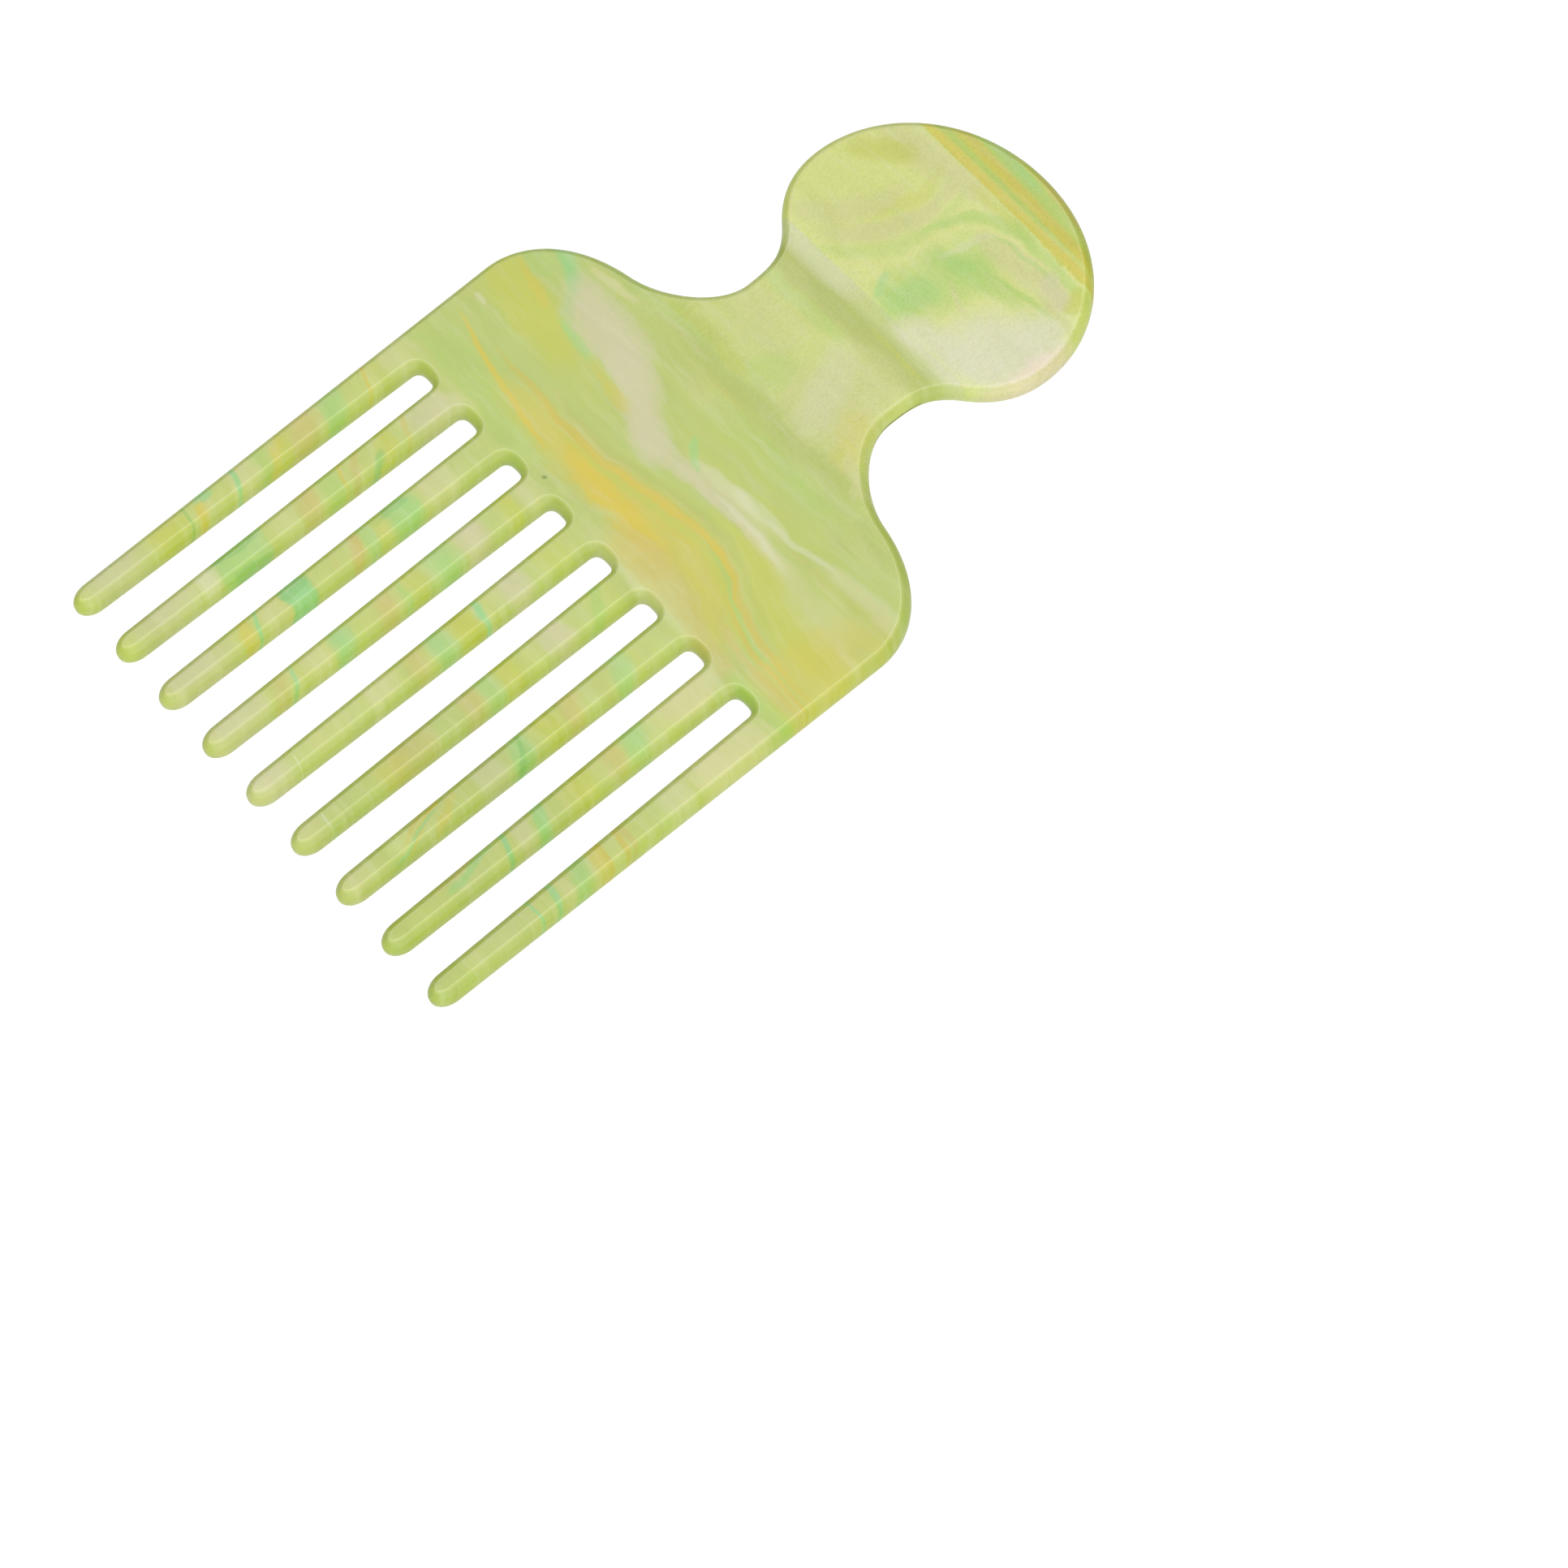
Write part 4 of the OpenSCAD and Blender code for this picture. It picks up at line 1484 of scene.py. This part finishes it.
@dataclass
class Studio:
    """Plain pale floor, soft light and the camera of the photograph.

    Attributes:
        eye: Place of the camera.
        aim: Point of the floor in the middle of the picture.
        turn: Direction on the floor that is upright in the picture, in degrees from X.
        lens: Focal length on a sensor of the usual width.
        sensor: Width of that sensor.
        floor_half: Half the width of the floor, in metres.
        floor_drop: Distance of the floor below the comb.
        floor_tone: How much of the lamps' light the floor throws back.
        floor_roughness: Roughness of the floor.
        glow: Strength of the light that the table sends up to the comb.
        sky: Strength of the light from all sides.
        softboxes: Lamps.
    """

    eye: Triple = (307.486, -158.949, 602.863)
    aim: Triple = (49.29, -17.17, 0.0)
    turn: float = 139.7
    lens: float = 108.964
    sensor: float = 36.0
    floor_half: float = 3.0
    floor_drop: float = 0.1
    floor_tone: float = 0.1
    floor_roughness: float = 0.9
    glow: float = 0.7
    sky: float = 0.33
    softboxes: tuple[Softbox, ...] = (
        Softbox("key", (1.1, -0.55, 0.95), (0.5, -0.25, 0.0), (2.0, 2.0), 24.5),
        Softbox("sheen", (-0.38, 0.26, 1.2), (0.0, 0.0, 0.0), (0.8, 0.8), 3.6),
    )

    def add_camera(self) -> None:
        """Add the camera and make it the scene's own."""
        data = bpy.data.cameras.new("camera")
        data.lens = self.lens
        data.sensor_width = self.sensor
        eye = Vector(self.eye) * MM
        back = (eye - Vector(self.aim) * MM).normalized()
        heading = math.radians(self.turn)
        upright = Vector((math.cos(heading), math.sin(heading), 0.0))
        right = upright.cross(back).normalized()
        turned = Matrix((right, back.cross(right), back)).transposed()
        camera = bpy.data.objects.new("camera", data)
        camera.matrix_world = Matrix.Translation(eye) @ turned.to_4x4()
        bpy.context.scene.collection.objects.link(camera)
        bpy.context.scene.camera = camera

    def add_lamp(self, softbox: Softbox) -> None:
        """Add one soft lamp.

        Args:
            softbox: The lamp's values.
        """
        data = bpy.data.lights.new(softbox.name, "AREA")
        data.shape = "RECTANGLE"
        data.size, data.size_y = softbox.size
        data.energy = softbox.power
        lamp = bpy.data.objects.new(softbox.name, data)
        place = Vector(softbox.place)
        lamp.location = place
        lamp.rotation_euler = (Vector(softbox.aim) - place).to_track_quat("-Z", "Y").to_euler()
        bpy.context.scene.collection.objects.link(lamp)

    def add_floor(self) -> None:
        """Add the plain pale floor, lit from within so that nothing shades it."""
        half = self.floor_half
        height = -self.floor_drop * MM
        corners = [(x * half, y * half, height) for x, y in ((-1, -1), (1, -1), (1, 1), (-1, 1))]
        mesh = bpy.data.meshes.new("floor")
        mesh.from_pydata(corners, [], [(0, 1, 2, 3)])
        material = bpy.data.materials.new("pale_floor")
        material.use_nodes = True
        canvas = Canvas(material.node_tree)
        shader = material.node_tree.nodes["Principled BSDF"]
        seen = canvas.add("ShaderNodeLightPath").outputs["Is Camera Ray"]
        glow = canvas.blend(seen, (self.glow,) * 3 + (1.0,), WHITE)
        canvas.feed(shader.inputs["Emission Color"], glow)
        shader.inputs["Base Color"].default_value = (self.floor_tone,) * 3 + (1.0,)
        shader.inputs["Roughness"].default_value = self.floor_roughness
        shader.inputs["Specular IOR Level"].default_value = 0.0
        shader.inputs["Emission Strength"].default_value = 1.0
        mesh.materials.append(material)
        floor = bpy.data.objects.new("floor", mesh)
        bpy.context.scene.collection.objects.link(floor)

    def add_sky(self) -> None:
        """Add even light from all sides, and keep the picture's colours as they are."""
        world = bpy.data.worlds.new("studio")
        world.use_nodes = True
        background = world.node_tree.nodes["Background"]
        background.inputs["Color"].default_value = WHITE
        background.inputs["Strength"].default_value = self.sky
        bpy.context.scene.world = world
        bpy.context.scene.view_settings.view_transform = "Standard"

    def build(self) -> None:
        """Set up the whole studio."""
        self.add_camera()
        self.add_sky()
        self.add_floor()
        for softbox in self.softboxes:
            self.add_lamp(softbox)


def main() -> None:
    """Build the comb and its studio, and report each piece."""
    logging.basicConfig(level=logging.INFO, format="%(name)s: %(message)s")
    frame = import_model()
    Studio().build()
    LOG.info("studio: floor, camera and lamps are in place")
    material = Acetate(AcetateFinish(), Effects()).material()
    comb = CombBody(CombOutline.from_frame()).build(material)
    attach(comb, BODY)
    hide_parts(*frame["nodes"])
    LOG.info("comb: %d points and %d faces", len(comb.data.vertices), len(comb.data.polygons))


if __name__ == "__main__":
    main()
